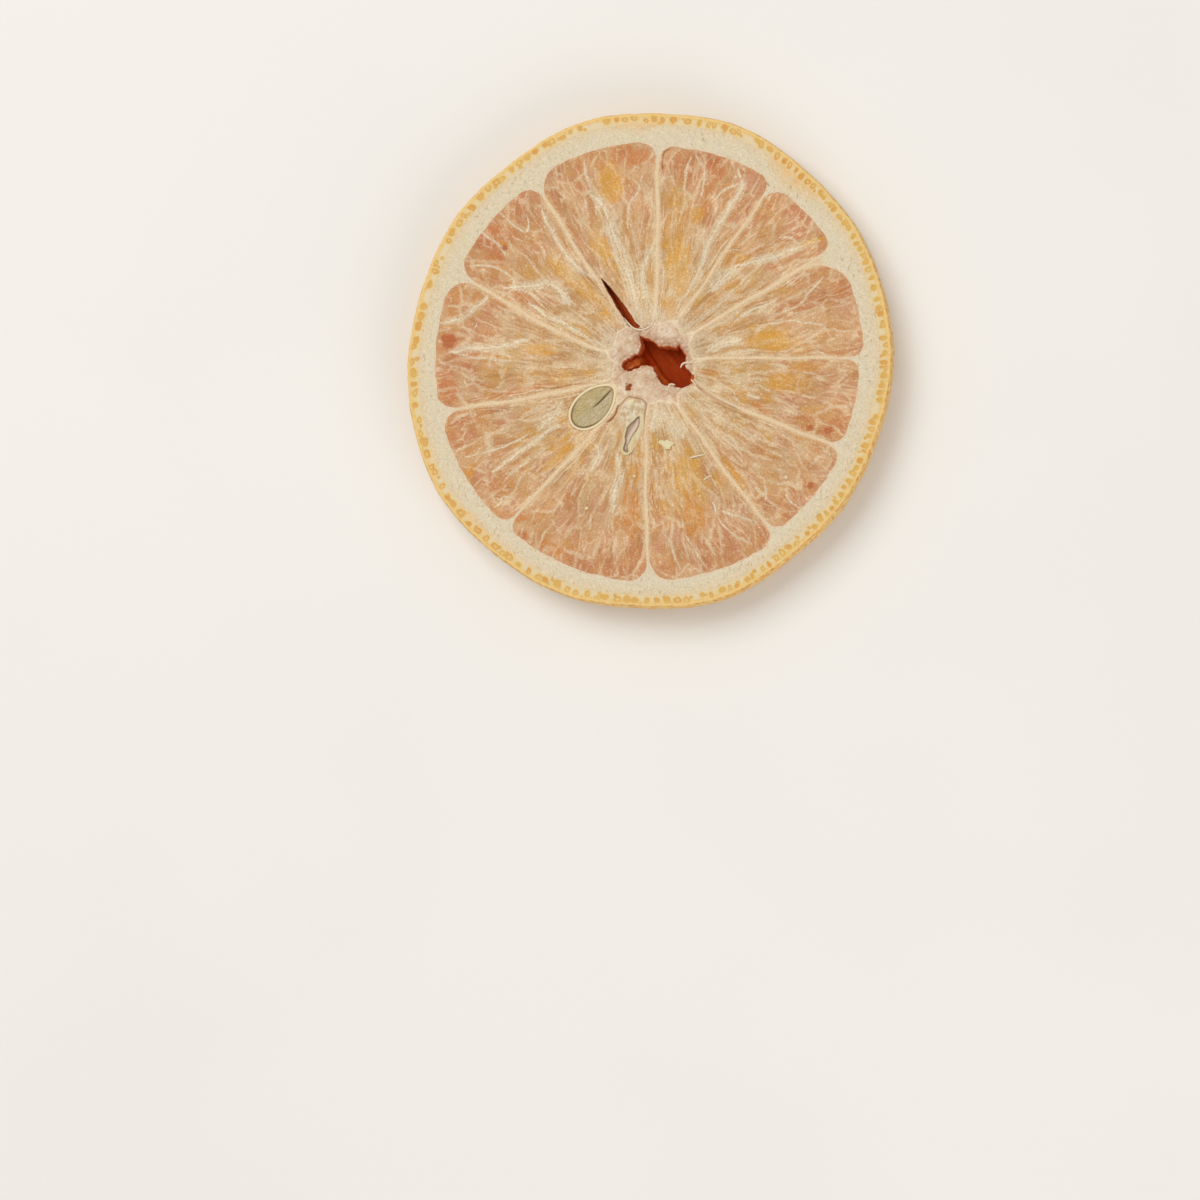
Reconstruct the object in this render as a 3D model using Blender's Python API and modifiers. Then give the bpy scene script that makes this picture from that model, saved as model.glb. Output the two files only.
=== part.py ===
"""A dried lemon slice, cut across the fruit, lying flat with its better face up.

The slice is one solid: a ring of skin and pith, eleven shallow pulp pockets in
each face with the membranes standing between them, and a spongy core that has
shrunk open into a hole and one narrow slit, both closed at their foot by a thin
dry skin. It stands on z = 0 with the middle
of its outline over the origin, and +X and +Y lie in the cut face. The fruit's
own axis is a little off that middle, and every radius and direction below is
measured from it.
"""
import math

import bmesh
import bpy

MM = 0.001

# Driving dimensions, in metres and degrees.
THICKNESS = 5.5 * MM
RIM_RADIUS = 29.05 * MM          # mean radius of the cut faces
SIDE_BULGE = 0.3 * MM            # how far the skin stands out at mid height
EDGE_ROUND = 0.25 * MM           # rounding where the skin meets a cut face
POCKET_DEPTH = 0.35 * MM         # the pulp has shrunk this far below the pith
MEMBRANE_WIDTH = 0.5 * MM
POCKET_CORNER = 2.2 * MM         # rounding of a pocket's two outer corners
POCKET_TIP = 0.9 * MM            # rounding of its two inner corners
FOOT_THICKNESS = 0.8 * MM        # the dry skin under the hole and the slit

# Where the fruit's axis stands, from the middle of the outline.
FRUIT_AXIS = (0.52 * MM, -0.10 * MM, 0.0)

# The rim's departures from a circle: lobes per turn, height, direction of a lobe.
RIM_WAVES = (
    (1, 0.54 * MM, 170.0),
    (2, 0.37 * MM, 72.0),
    (3, 0.08 * MM, -30.0),
    (4, 0.11 * MM, 16.0),
    (5, 0.08 * MM, -3.0),
    (8, 0.08 * MM, 18.0),
    (10, 0.12 * MM, -2.0),
)

# Each membrane's direction at the pith, and how far it has turned at the core.
MEMBRANES = (
    (0.0, 3.0), (31.0, 0.0), (55.0, 0.0), (88.0, -6.0), (123.0, -6.0), (155.0, 18.0),
    (193.0, 14.0), (228.5, 6.0), (269.5, -6.0), (305.5, -5.0), (335.0, -6.0),
)
# Each pulp pocket's outer and inner radius in millimetres; pocket n follows membrane n.
POCKETS = (
    (25.2, 6.0), (25.2, 6.0), (25.5, 5.2), (26.0, 4.6), (25.6, 5.2), (25.9, 6.4),
    (26.0, 6.2), (26.1, 5.2), (26.0, 5.6), (25.1, 6.2), (24.7, 6.6),
)

# The edge of the core's hole, in millimetres, anticlockwise from its right tip.
CORE_HOLE = (
    (5.3, -1.5), (4.3, -0.5), (3.9, 0.6), (3.3, 1.8), (2.0, 2.0), (0.7, 2.0), (-0.6, 2.7),
    (-1.4, 3.1), (-1.3, 1.5), (-1.9, 0.7), (-3.0, 0.3), (-3.5, -0.4), (-2.7, -1.1),
    (-1.4, -0.6), (-0.2, -0.5), (0.6, -1.1), (1.4, -2.4), (2.6, -3.0), (4.0, -3.3), (4.8, -2.6),
)
# The slit beside the fourth membrane: its two ends and its widest gap.
SLIT_START = (-1.8 * MM, 4.0 * MM)
SLIT_END = (-5.6 * MM, 9.4 * MM)
SLIT_GAP = 0.8 * MM
SLIT_SKEW = 0.75                 # below 1 the widest place moves towards the start

# How finely the round shapes are divided.
RIM_STEPS = 144
CORNER_STEPS = 4
ARC_STEP = 4.0                   # degrees along a pocket's outer arc
HOLE_STEPS = 60
SLIT_STEPS = 8

PULP_COLOUR = (0.62, 0.40, 0.18, 1.0)


def rim_radius(angle):
    """Radius of the cut face's edge in one direction (radians)."""
    waves = sum(height * math.cos(lobes * (angle - math.radians(lean)))
                for lobes, height, lean in RIM_WAVES)
    return RIM_RADIUS + waves


def clear_scene():
    for old in list(bpy.data.objects):
        bpy.data.objects.remove(old)


def fruit_axis(collection):
    """The empty that every piece is measured from."""
    axis = bpy.data.objects.new("fruit_axis", None)
    axis.location = FRUIT_AXIS
    collection.objects.link(axis)
    return axis


def new_collection(name):
    collection = bpy.data.collections.new(name)
    bpy.context.scene.collection.children.link(collection)
    return collection


def pulp_material():
    """Dry pulp and pith, matte."""
    material = bpy.data.materials.new("dried_lemon")
    material.use_nodes = True
    shader = material.node_tree.nodes["Principled BSDF"]
    shader.inputs["Base Color"].default_value = PULP_COLOUR
    shader.inputs["Roughness"].default_value = 0.65
    shader.inputs["Metallic"].default_value = 0.0
    return material


def side_profile():
    """Half section of the slice, from the top's middle round the skin to the base's."""
    points = [(0.0, THICKNESS), (RIM_RADIUS - EDGE_ROUND, THICKNESS)]
    rows = 6
    for row in range(rows + 1):
        share = row / rows
        height = THICKNESS - EDGE_ROUND - share * (THICKNESS - 2 * EDGE_ROUND)
        points.append((RIM_RADIUS + SIDE_BULGE * math.sin(math.pi * share), height))
    points += [(RIM_RADIUS - EDGE_ROUND, 0.0), (0.0, 0.0)]
    return points


def turned_disc(name):
    """The side profile turned about the vertical axis."""
    mesh = bpy.data.meshes.new(name)
    profile = side_profile()
    edges = [(i, i + 1) for i in range(len(profile) - 1)]
    mesh.from_pydata([(x, 0.0, z) for x, z in profile], edges, [])
    turned = bpy.data.objects.new(name, mesh)
    bpy.context.scene.collection.objects.link(turned)
    screw = turned.modifiers.new("turn", 'SCREW')
    screw.steps = RIM_STEPS
    screw.render_steps = RIM_STEPS
    screw.use_merge_vertices = True
    screw.merge_threshold = 0.00001
    screw.use_normal_calculate = True
    return turned


def push_out_of_round(mesh):
    """Scale every point so that the circular edge becomes the uneven rim."""
    for vertex in mesh.vertices:
        share = rim_radius(math.atan2(vertex.co.y, vertex.co.x)) / RIM_RADIUS
        vertex.co.x *= share
        vertex.co.y *= share


def slice_body(collection):
    """The slice before anything is cut from it."""
    turned = turned_disc("turned_disc")
    evaluated = turned.evaluated_get(bpy.context.evaluated_depsgraph_get())
    mesh = bpy.data.meshes.new_from_object(evaluated)
    bpy.data.objects.remove(turned)
    push_out_of_round(mesh)
    shape = bmesh.new()
    shape.from_mesh(mesh)
    bmesh.ops.recalc_face_normals(shape, faces=shape.faces)
    bmesh.ops.dissolve_limit(shape, angle_limit=math.radians(1.0), verts=shape.verts,
                             edges=shape.edges, delimit=set())
    shape.to_mesh(mesh)
    shape.free()
    mesh.name = "lemon_slice"
    mesh.materials.append(pulp_material())
    body = bpy.data.objects.new("lemon_slice", mesh)
    collection.objects.link(body)
    return body


def membrane_angle(number, radius):
    """Direction of a membrane's middle line at one radius (radians)."""
    at_pith, turned = MEMBRANES[number % len(MEMBRANES)]
    turns = number // len(MEMBRANES)
    near_core = max(0.0, 1.0 - radius / RIM_RADIUS) ** 2
    return math.radians(at_pith + turned * near_core + 360.0 * turns)


def quarter(steps):
    """Angles from 0 to 90 degrees in equal steps."""
    return [0.5 * math.pi * k / steps for k in range(steps + 1)]


def pocket_outline(number):
    """A wedge with rounded corners between two membranes."""
    outer, inner = (value * MM for value in POCKETS[number])
    half_wall = 0.5 * MEMBRANE_WIDTH

    def point(side, inset, radius):
        """A point by its distance in from the membrane on one side."""
        wall = membrane_angle(number if side > 0 else number + 1, radius)
        angle = wall + side * (half_wall + inset) / radius
        return (radius * math.cos(angle), radius * math.sin(angle))

    outline = []
    for turn in quarter(CORNER_STEPS):
        inset = POCKET_TIP * (1.0 - math.sin(turn))
        outline.append(point(1, inset, inner + POCKET_TIP * (1.0 - math.cos(turn))))
    for turn in quarter(CORNER_STEPS):
        inset = POCKET_CORNER * (1.0 - math.cos(turn))
        outline.append(point(1, inset, outer - POCKET_CORNER * (1.0 - math.sin(turn))))
    start = membrane_angle(number, outer) + (half_wall + POCKET_CORNER) / outer
    end = membrane_angle(number + 1, outer) - (half_wall + POCKET_CORNER) / outer
    steps = max(2, round(math.degrees(end - start) / ARC_STEP))
    for k in range(1, steps):
        angle = start + (end - start) * k / steps
        outline.append((outer * math.cos(angle), outer * math.sin(angle)))
    for turn in reversed(quarter(CORNER_STEPS)):
        inset = POCKET_CORNER * (1.0 - math.cos(turn))
        outline.append(point(-1, inset, outer - POCKET_CORNER * (1.0 - math.sin(turn))))
    for turn in reversed(quarter(CORNER_STEPS)):
        inset = POCKET_TIP * (1.0 - math.sin(turn))
        outline.append(point(-1, inset, inner + POCKET_TIP * (1.0 - math.cos(turn))))
    return outline


def smooth_ring(points, steps):
    """A closed Catmull-Rom curve through points in millimetres."""
    ring = [(x * MM, y * MM) for x, y in points]
    count = len(ring)
    outline = []
    for k in range(steps):
        place = k * count / steps
        first = int(place)
        t = place - first
        p0, p1, p2, p3 = (ring[(first + j - 1) % count] for j in range(4))
        outline.append(tuple(
            0.5 * (2 * b + (c - a) * t + (2 * a - 5 * b + 4 * c - d) * t ** 2
                   + (3 * b - a - 3 * c + d) * t ** 3)
            for a, b, c, d in zip(p0, p1, p2, p3)))
    return outline


def slit_outline():
    """A thin lens between the slit's two ends."""
    (x0, y0), (x1, y1) = SLIT_START, SLIT_END
    length = math.hypot(x1 - x0, y1 - y0)
    across = ((y1 - y0) / length, (x0 - x1) / length)
    outline = []
    for side in (1, -1):
        for k in range(SLIT_STEPS):
            share = k / SLIT_STEPS if side > 0 else 1.0 - k / SLIT_STEPS
            gap = side * 0.5 * SLIT_GAP * math.sin(math.pi * share ** SLIT_SKEW)
            outline.append((x0 + (x1 - x0) * share + across[0] * gap,
                            y0 + (y1 - y0) * share + across[1] * gap))
    return outline


def add_prism(shape, outline, low, high):
    """A closed upright prism on a flat outline, from one height to another."""
    base = shape.faces.new([shape.verts.new((x, y, low)) for x, y in outline])
    base.normal_update()
    if base.normal.z > 0:
        base.normal_flip()
    top = bmesh.ops.extrude_face_region(shape, geom=[base], use_keep_orig=True)
    raised = [item for item in top["geom"] if isinstance(item, bmesh.types.BMVert)]
    bmesh.ops.translate(shape, verts=raised, vec=(0.0, 0.0, high - low))


def cutter(name, prisms, collection):
    """One cutter object from (outline, low, high) prisms that don't touch."""
    shape = bmesh.new()
    for outline, low, high in prisms:
        add_prism(shape, outline, low, high)
    bmesh.ops.recalc_face_normals(shape, faces=shape.faces)
    mesh = bpy.data.meshes.new(name)
    shape.to_mesh(mesh)
    shape.free()
    tool = bpy.data.objects.new(name, mesh)
    tool.hide_render = True
    tool.display_type = 'WIRE'
    collection.objects.link(tool)
    return tool


def pocket_cutter(collection):
    """A pocket between each two membranes, in the upper and in the lower face."""
    prisms = []
    for number in range(len(POCKETS)):
        outline = pocket_outline(number)
        prisms.append((outline, THICKNESS - POCKET_DEPTH, THICKNESS + 1 * MM))
        prisms.append((outline, -1 * MM, POCKET_DEPTH))
    return cutter("pulp_pockets", prisms, collection)


def opening_cutter(collection):
    """The core's hole and the slit, from the upper face down to their thin foot."""
    heights = (FOOT_THICKNESS, THICKNESS + 1 * MM)
    prisms = [(smooth_ring(CORE_HOLE, HOLE_STEPS), *heights), (slit_outline(), *heights)]
    return cutter("core_openings", prisms, collection)


def cut(body, tool):
    modifier = body.modifiers.new(tool.name, 'BOOLEAN')
    modifier.operation = 'DIFFERENCE'
    modifier.solver = 'EXACT'
    modifier.object = tool


def main():
    clear_scene()
    parts = new_collection("lemon_slice")
    cutters = new_collection("cutters")
    axis = fruit_axis(parts)
    body = slice_body(parts)
    tools = [pocket_cutter(cutters), opening_cutter(cutters)]
    for piece in [body, *tools]:
        piece.parent = axis
    for tool in tools:
        cut(body, tool)
    bpy.context.view_layer.update()


main()
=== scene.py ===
"""Looks of a dried lemon slice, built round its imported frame.

Lengths are in millimetres from the fruit's axis until a mesh is made. Every
pattern is a function of the place on the face, so pieces that meet agree.
"""
import math

import bmesh
import bpy
import numpy as np
from mathutils import Matrix, Vector


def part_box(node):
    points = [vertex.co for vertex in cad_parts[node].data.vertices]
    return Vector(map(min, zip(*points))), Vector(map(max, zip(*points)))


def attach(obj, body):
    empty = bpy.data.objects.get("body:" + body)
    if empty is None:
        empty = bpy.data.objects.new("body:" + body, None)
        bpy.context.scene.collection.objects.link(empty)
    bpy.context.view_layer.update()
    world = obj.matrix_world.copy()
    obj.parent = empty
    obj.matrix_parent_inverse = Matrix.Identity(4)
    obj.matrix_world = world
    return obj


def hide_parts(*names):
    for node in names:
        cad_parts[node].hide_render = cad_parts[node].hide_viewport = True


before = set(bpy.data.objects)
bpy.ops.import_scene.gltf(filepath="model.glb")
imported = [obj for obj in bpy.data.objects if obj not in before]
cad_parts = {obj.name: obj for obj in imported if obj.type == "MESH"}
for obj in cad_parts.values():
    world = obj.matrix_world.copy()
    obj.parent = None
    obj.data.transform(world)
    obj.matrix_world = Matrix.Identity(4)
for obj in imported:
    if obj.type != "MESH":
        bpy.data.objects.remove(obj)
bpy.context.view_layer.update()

MM = 0.001
NODE = "lemon_slice"
LOW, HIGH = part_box(NODE)
THICKNESS = (HIGH.z - LOW.z) / MM

# The fruit's axis, from the middle of the outline.
FRUIT_AXIS = (0.52, -0.10)
RIM_RADIUS = 29.05
# The rim's departures from a circle: lobes per turn, height, direction of a lobe.
RIM_WAVES = ((1, 0.54, 170.0), (2, 0.37, 72.0), (3, 0.08, -30.0), (4, 0.11, 16.0),
             (5, 0.08, -3.0), (8, 0.08, 18.0), (10, 0.12, -2.0))
RIM_RAGGED = ((3.1, 0.05, 81), (0.9, 0.02, 82))  # finer waves: length, height, salt
RIM_SEAM = 4.0                   # how far along the rim that pattern's two ends melt together
SKIN_WIDTH = 1.35                # the band of oil glands on a cut face
SIDE_BULGE = 0.25
EDGE_ROUND = 0.22

# Each membrane's direction at the pith, how far it has turned at the core, and its width.
MEMBRANES = (
    (0, 3, 0.32), (31, 0, 0.42), (55, 0, 0.34), (88, -6, 0.42),
    (122.6, 1.2, 0.40), (155, 18, 0.42), (193, 14, 0.44), (228.5, 6, 0.42),
    (269.5, -6, 0.38), (305.5, -5, 0.38), (335.2, -10, 0.40),
)
# Each pocket's outer and inner radius; pocket n follows membrane n.
POCKETS = np.array((
    (25.2, 5.1), (25.2, 5.3), (25.5, 4.9), (26.0, 4.3), (25.6, 4.9), (25.9, 4.6),
    (26.0, 6.0), (26.1, 5.2), (26.0, 5.2), (25.1, 5.4), (24.7, 5.7),
))
# How round each pocket's two outer corners are.
CORNERS = np.array((
    (1.6, 5.0), (1.3, 2.3), (1.6, 1.8), (2.2, 3.0), (2.2, 2.2), (3.0, 2.2),
    (2.2, 1.6), (1.6, 2.2), (2.6, 2.2), (1.6, 1.6), (1.6, 1.6),
))
TIP_CORNER = 1.1
POCKET_RADII = (3.0, 27.5)       # every pocket lies between these
POCKET_SPREAD = 0.62             # and within this share of its width from its middle
PULP_OVERLAP = 0.8               # share of half a membrane that the pulp runs under
COUNT = len(MEMBRANES)

# The core's hole, anticlockwise from its right tip, and the slit beside a membrane.
CORE_HOLE = (
    (5.2, -1.9), (4.7, -1.3), (4.15, -0.6), (4.2, 0.1), (4.1, 0.8), (3.6, 1.4), (3.3, 1.85),
    (2.9, 1.6), (1.8, 1.8), (1, 1.85), (0.4, 2.3), (-0.4, 2.75), (-1.35, 3.15), (-1.2, 2.3),
    (-1.25, 1.65), (-1.5, 1), (-2.3, 0.6), (-3.1, 0.2), (-3.45, -0.4), (-3.2, -0.95),
    (-2.6, -1.15), (-1.8, -0.9), (-0.8, -0.5), (0.1, -0.65), (0.55, -1.4), (0.95, -2.2),
    (1.8, -2.95), (2.5, -2.7), (3.05, -3.1), (4.2, -3.15), (4.9, -2.7),
)
SLIT = ((-1.2, 4.15), (-1.7, 4.6), (-2.1, 5.2), (-2.6, 6), (-3.4, 7.1), (-4.4, 8.4), (-5.2, 9.3),
        (-5.9, 10), (-5.5, 9), (-4.6, 7.4), (-3.65, 5.8), (-2.6, 4.4), (-1.75, 3.8))

SPACING = 0.12
SHARP_ANGLE = math.radians(60)
WALL_ROWS = 14
OPEN_WALL = 0.09                 # a border point this near the hole or the slit is in its wall
TOP, BASE = 0, 1


# ---------------------------------------------------------------- patterns

# Large odd numbers that scramble a lattice point, and the number of bits that are kept.
SCRAMBLE = (374761393, 668265263, 974634777, 1274126177)
KEEP_32 = 0xFFFFFFFF
KEEP_24 = 0xFFFFFF


def polar(x, y):
    """Distance from the fruit's axis, and direction."""
    return np.hypot(x, y), np.arctan2(y, x)


def turned(x, y, turn):
    """How far a place lies along a direction and across it."""
    return x * math.cos(turn) + y * math.sin(turn), y * math.cos(turn) - x * math.sin(turn)


def hashed(i, j, salt):
    """A repeatable number from 0 to 1 for each lattice point; the salt sets one pattern apart."""
    mixed = i.astype(np.int64) * SCRAMBLE[0] + j.astype(np.int64) * SCRAMBLE[1] + salt * SCRAMBLE[2]
    mixed = mixed & KEEP_32
    mixed = ((mixed ^ (mixed >> 13)) * SCRAMBLE[3]) & KEEP_32
    mixed = mixed ^ (mixed >> 16)
    return (mixed & KEEP_24) / (KEEP_24 + 1.0)


def noise(x, y, salt):
    """Smooth gradient noise of unit wavelength, from about -1 to 1."""
    i, j = np.floor(x), np.floor(y)
    fx, fy = x - i, y - j
    ease_x = fx ** 3 * (fx * (fx * 6 - 15) + 10)
    ease_y = fy ** 3 * (fy * (fy * 6 - 15) + 10)
    total = 0.0
    for di in (0, 1):
        for dj in (0, 1):
            turn = 2 * np.pi * hashed(i + di, j + dj, salt)
            slope = np.cos(turn) * (fx - di) + np.sin(turn) * (fy - dj)
            total = total + (ease_x if di else 1 - ease_x) * (ease_y if dj else 1 - ease_y) * slope
    return 1.55 * total


def rough(x, y, salt, octaves=3):
    """Noise with finer noise on it, from about -1 to 1."""
    total, size, whole = 0.0, 1.0, 0.0
    for k in range(octaves):
        total = total + size * noise(x * 2 ** k, y * 2 ** k, salt + 31 * k)
        whole += size
        size *= 0.5
    return total / whole


def unit(value):
    """The value, kept from 0 to 1."""
    return np.clip(value, 0, 1)


def step(low, high, value):
    """Smooth rise from 0 at low to 1 at high."""
    share = unit((value - low) / (high - low))
    return share * share * (3 - 2 * share)


def fall(low, high, value):
    """Smooth fall from 1 at low to 0 at high."""
    return 1 - step(low, high, value)


JITTER = 0.95                    # how far a cell's site strays, as a share of the lattice's pitch


def site_offset(i, j, u, v, salt):
    """From each point (u, v) to the site of one lattice cell."""
    return (i + 0.5 + JITTER * (hashed(i, j, salt) - 0.5) - u,
            j + 0.5 + JITTER * (hashed(i, j, salt + 7) - 0.5) - v)


def cells(u, v, salt):
    """Uneven cells of unit pitch: distance to the wall, to the middle, and a number for each cell."""
    i, j = np.floor(u), np.floor(v)
    best = np.full(u.shape, 1e9)
    mid_u, mid_v, name = np.zeros(u.shape), np.zeros(u.shape), np.zeros(u.shape)
    for di in (-1, 0, 1):
        for dj in (-1, 0, 1):
            du, dv = site_offset(i + di, j + dj, u, v, salt)
            near = du * du + dv * dv < best
            best = np.where(near, du * du + dv * dv, best)
            mid_u, mid_v = np.where(near, du, mid_u), np.where(near, dv, mid_v)
            name = np.where(near, hashed(i + di, j + dj, salt + 13), name)
    wall = np.full(u.shape, 1e9)
    for di in (-2, -1, 0, 1, 2):
        for dj in (-2, -1, 0, 1, 2):
            du, dv = site_offset(i + di, j + dj, u, v, salt)
            across_u, across_v = du - mid_u, dv - mid_v
            gap = np.hypot(across_u, across_v)
            halfway = 0.5 * ((mid_u + du) * across_u + (mid_v + dv) * across_v)
            wall = np.minimum(wall, np.where(gap > 1e-6, halfway / np.maximum(gap, 1e-6), 1e9))
    return wall, np.sqrt(best), name


def smooth_path(points, steps, closed=False):
    """A Catmull-Rom curve through a few points."""
    given = np.array(points, float)
    if closed:
        given = np.vstack([given[-1:], given, given[:2]])
    else:
        given = np.vstack([2 * given[0] - given[1], given, 2 * given[-1] - given[-2]])
    spans = len(given) - 3
    out = []
    for k in range(steps if closed else steps + 1):
        first = min(int(k * spans / steps), spans - 1)
        t = k * spans / steps - first
        a, b, c, d = given[first:first + 4]
        out.append(0.5 * (2 * b + (c - a) * t + (2 * a - 5 * b + 4 * c - d) * t ** 2
                          + (3 * b - a - 3 * c + d) * t ** 3))
    return np.array(out)


def near_segments(x, y, line):
    """Distance to a chain of straight pieces, and the share of the way along it."""
    best, along = np.full(x.shape, 1e9), np.zeros(x.shape)
    spans = len(line) - 1
    for k in range(spans):
        (x0, y0), (x1, y1) = line[k], line[k + 1]
        dx, dy = x1 - x0, y1 - y0
        share = unit(((x - x0) * dx + (y - y0) * dy) / (dx * dx + dy * dy + 1e-12))
        gap = np.hypot(x - x0 - share * dx, y - y0 - share * dy)
        near = gap < best
        best, along = np.where(near, gap, best), np.where(near, (k + share) / spans, along)
    return best, along


def inside_outline(x, y, outline):
    """Signed distance to a closed outline, positive inside."""
    closed = np.vstack([outline, outline[:1]])
    odd = np.zeros(x.shape, bool)
    for (x0, y0), (x1, y1) in zip(closed[:-1], closed[1:]):
        crosses = (y0 > y) != (y1 > y)
        at = x0 + (y - y0) * (x1 - x0) / (y1 - y0 + 1e-12)
        odd ^= crosses & (x < at)
    gap, _ = near_segments(x, y, closed)
    return np.where(odd, gap, -gap)


def windowed(x, y, points, margin, work, empty):
    """Runs work only on the points near an outline, and fills the rest with empty."""
    pts = np.array(points)
    near = ((x > pts[:, 0].min() - margin) & (x < pts[:, 0].max() + margin)
            & (y > pts[:, 1].min() - margin) & (y < pts[:, 1].max() + margin))
    out = np.full(x.shape, float(empty))
    if near.any():
        out[near] = work(x[near], y[near])
    return out


def near_outline(x, y, outline, margin, far):
    """Signed distance to a closed outline, worked out only within a margin of it."""
    return windowed(x, y, outline, margin, lambda a, b: inside_outline(a, b, outline), far)


# ---------------------------------------------------------------- the slice's plan

def rim(theta):
    """Radius of the cut face's edge."""
    waves = sum(height * np.cos(lobes * (theta - np.radians(lean)))
                for lobes, height, lean in RIM_WAVES)
    arc, ring = theta * RIM_RADIUS, 2 * np.pi * RIM_RADIUS
    fine, other = (sum(height * noise(place / length, 0 * place, salt) for length, height, salt in RIM_RAGGED)
                   for place in (arc, arc + ring))
    blend = step(-ring / 2, -ring / 2 + RIM_SEAM, arc)
    return RIM_RADIUS + waves + blend * fine + (1 - blend) * other


def wrap(angle):
    """The same direction, from minus half a turn to half a turn."""
    return (angle + np.pi) % (2 * np.pi) - np.pi


def membrane_angle(number, r):
    """Direction of a membrane's middle line at radius r."""
    at_pith, twist, _ = MEMBRANES[number % COUNT]
    near_core = np.maximum(0, 1 - r / RIM_RADIUS) ** 2
    sway = 0.22 * noise(r / 6.0, 0 * r + 3.7 * (number % COUNT), 5) / np.maximum(r, 3.0)
    return np.radians(at_pith + twist * near_core) + sway


def rounded(a, b, radius):
    """Distance inside two walls whose corner is rounded."""
    return (radius - np.hypot(np.maximum(radius - a, 0), np.maximum(radius - b, 0))
            + np.maximum(np.minimum(a, b) - radius, 0))


def edge_wobble(x, y):
    """Unevenness of the pockets' edges: half a membrane's share, the pith side, the core side."""
    return (0.5 * (1 + 0.35 * noise(x / 1.4, y / 1.4, 10)),
            0.10 * noise(x / 1.7, y / 1.7, 11) + 0.05 * noise(x / 0.6, y / 0.6, 12),
            0.7 * noise(x / 1.5, y / 1.5, 14))


def pocket_shape(number, x, y, wobble=None):
    """Share of the way across a pocket, distance inside its edge, and half its membrane's width."""
    half, ragged, uneven = wobble if wobble else edge_wobble(x, y)
    r, theta = polar(x, y)
    first = wrap(theta - membrane_angle(number, r))
    last = wrap(membrane_angle(number + 1, r) - theta)
    share = first / np.where(np.abs(first + last) > 1e-3, first + last, 1e-3)
    outer, inner = POCKETS[number]
    half_first, half_last = half * MEMBRANES[number][2], half * MEMBRANES[(number + 1) % COUNT][2]
    from_first = r * np.sin(np.clip(first, -1.5, 1.5)) - half_first
    from_last = r * np.sin(np.clip(last, -1.5, 1.5)) - half_last
    from_pith = outer - r + ragged
    from_core = r - inner + uneven
    inside = np.minimum(
        np.minimum(rounded(from_first, from_pith, CORNERS[number, 0]),
                   rounded(from_last, from_pith, CORNERS[number, 1])),
        np.minimum(rounded(from_first, from_core, TIP_CORNER),
                   rounded(from_last, from_core, TIP_CORNER)))
    return unit(share), inside, np.minimum(half_first, half_last)


def pocket_middle(number):
    """Direction of a pocket's middle, and its width as an angle."""
    start, end = MEMBRANES[number][0], MEMBRANES[(number + 1) % COUNT][0]
    width = (end - start) % 360
    return math.radians(start + 0.5 * width), math.radians(width)


def deepest(x, y):
    """Distance inside the nearest pocket's edge, negative outside them all."""
    wobble = edge_wobble(x, y)
    best = np.full(x.shape, -30.0)
    theta, reach = np.arctan2(y, x), 1.2 / np.maximum(np.hypot(x, y), 1.0)
    for number in range(COUNT):
        middle, width = pocket_middle(number)
        near = np.abs(wrap(theta - middle)) < 0.5 * width + 0.15 + reach
        part = [each[near] for each in wobble]
        best[near] = np.maximum(best[near], pocket_shape(number, x[near], y[near], part)[1])
    return best


HOLE_LINE = smooth_path(CORE_HOLE, 120, closed=True)
SLIT_LINE = smooth_path(SLIT, 60, closed=True)


def opening(x, y):
    """Signed distance to the hole and the slit, positive in the opening."""
    frayed = 0.10 * noise(x / 0.55, y / 0.55, 15) + 0.07 * noise(x / 0.25, y / 0.25, 16)
    hole = near_outline(x, y, HOLE_LINE, 3.0, -3.0)
    slit = near_outline(x, y, SLIT_LINE, 2.0, -3.0)
    return np.maximum(hole + frayed, slit + 0.4 * frayed)


# ---------------------------------------------------------------- where the seeds lie

FINE = 0.08
SEED_FOOT = 1.2                  # how deep the seeds' pieces reach below the face
SEED_BED = 0.7                   # how deep the pulp lies under them
KERNEL_MIDDLE = (-6.96, -5.41)
KERNEL_HALF = (2.90, 1.83)
KERNEL_TURN = math.radians(43)
COAT_WIDTH = 0.34
COAT_GAP = 0.015
COTYLEDON_LINE = ((-8.3, -6.8), (-7.2, -5.8), (-6, -4.75), (-4.48, -3.2))
HUSK = ((-3.7, -5.15), (-2.85, -4.15), (-2.2, -4.05), (-1.5, -4.25), (-0.85, -4.4), (-0.4, -4.9),
        (-0.3, -5.5), (-0.45, -6.2), (-0.5, -7.4), (-0.6, -8.4), (-1.2, -9.3), (-1.8, -10.2),
        (-2.4, -10.9), (-2.9, -11.15), (-3.45, -10.9), (-3.6, -10.4), (-3.45, -9.4), (-3.4, -8.5),
        (-3.75, -7.7), (-4, -6.9), (-3.95, -6))
CAVITY = ((-1.31, -6.54), (-1.98, -7.13), (-2.46, -7.53), (-2.81, -8.09), (-3, -8.94), (-3, -9.5),
          (-3.2, -10.5), (-2.7, -10.75), (-2.75, -10.1), (-2.5, -9.55), (-2.14, -8.88),
          (-1.66, -8.24), (-1.35, -7.61))
CAVITY_FLOOR = ((-1.43, -6.98), (-1.82, -7.77), (-2.22, -8.4), (-2.62, -9.2), (-2.89, -10.23))
CHIP = ((-2.7, -5), (-2.45, -4.45), (-1.85, -4.45), (-2, -4.85), (-2.4, -5))
HUSK_STAINS = (((-3.17, -6.3), 0.40), ((-1.3, -4.85), 0.26))
FLAKE = ((0.9, -9.75), (1.25, -9.2), (1.6, -9.5), (2.1, -9.3), (2.9, -9.8), (2.5, -10.1), (2.35, -10.5),
         (1.8, -10.4), (1.5, -10))


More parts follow.
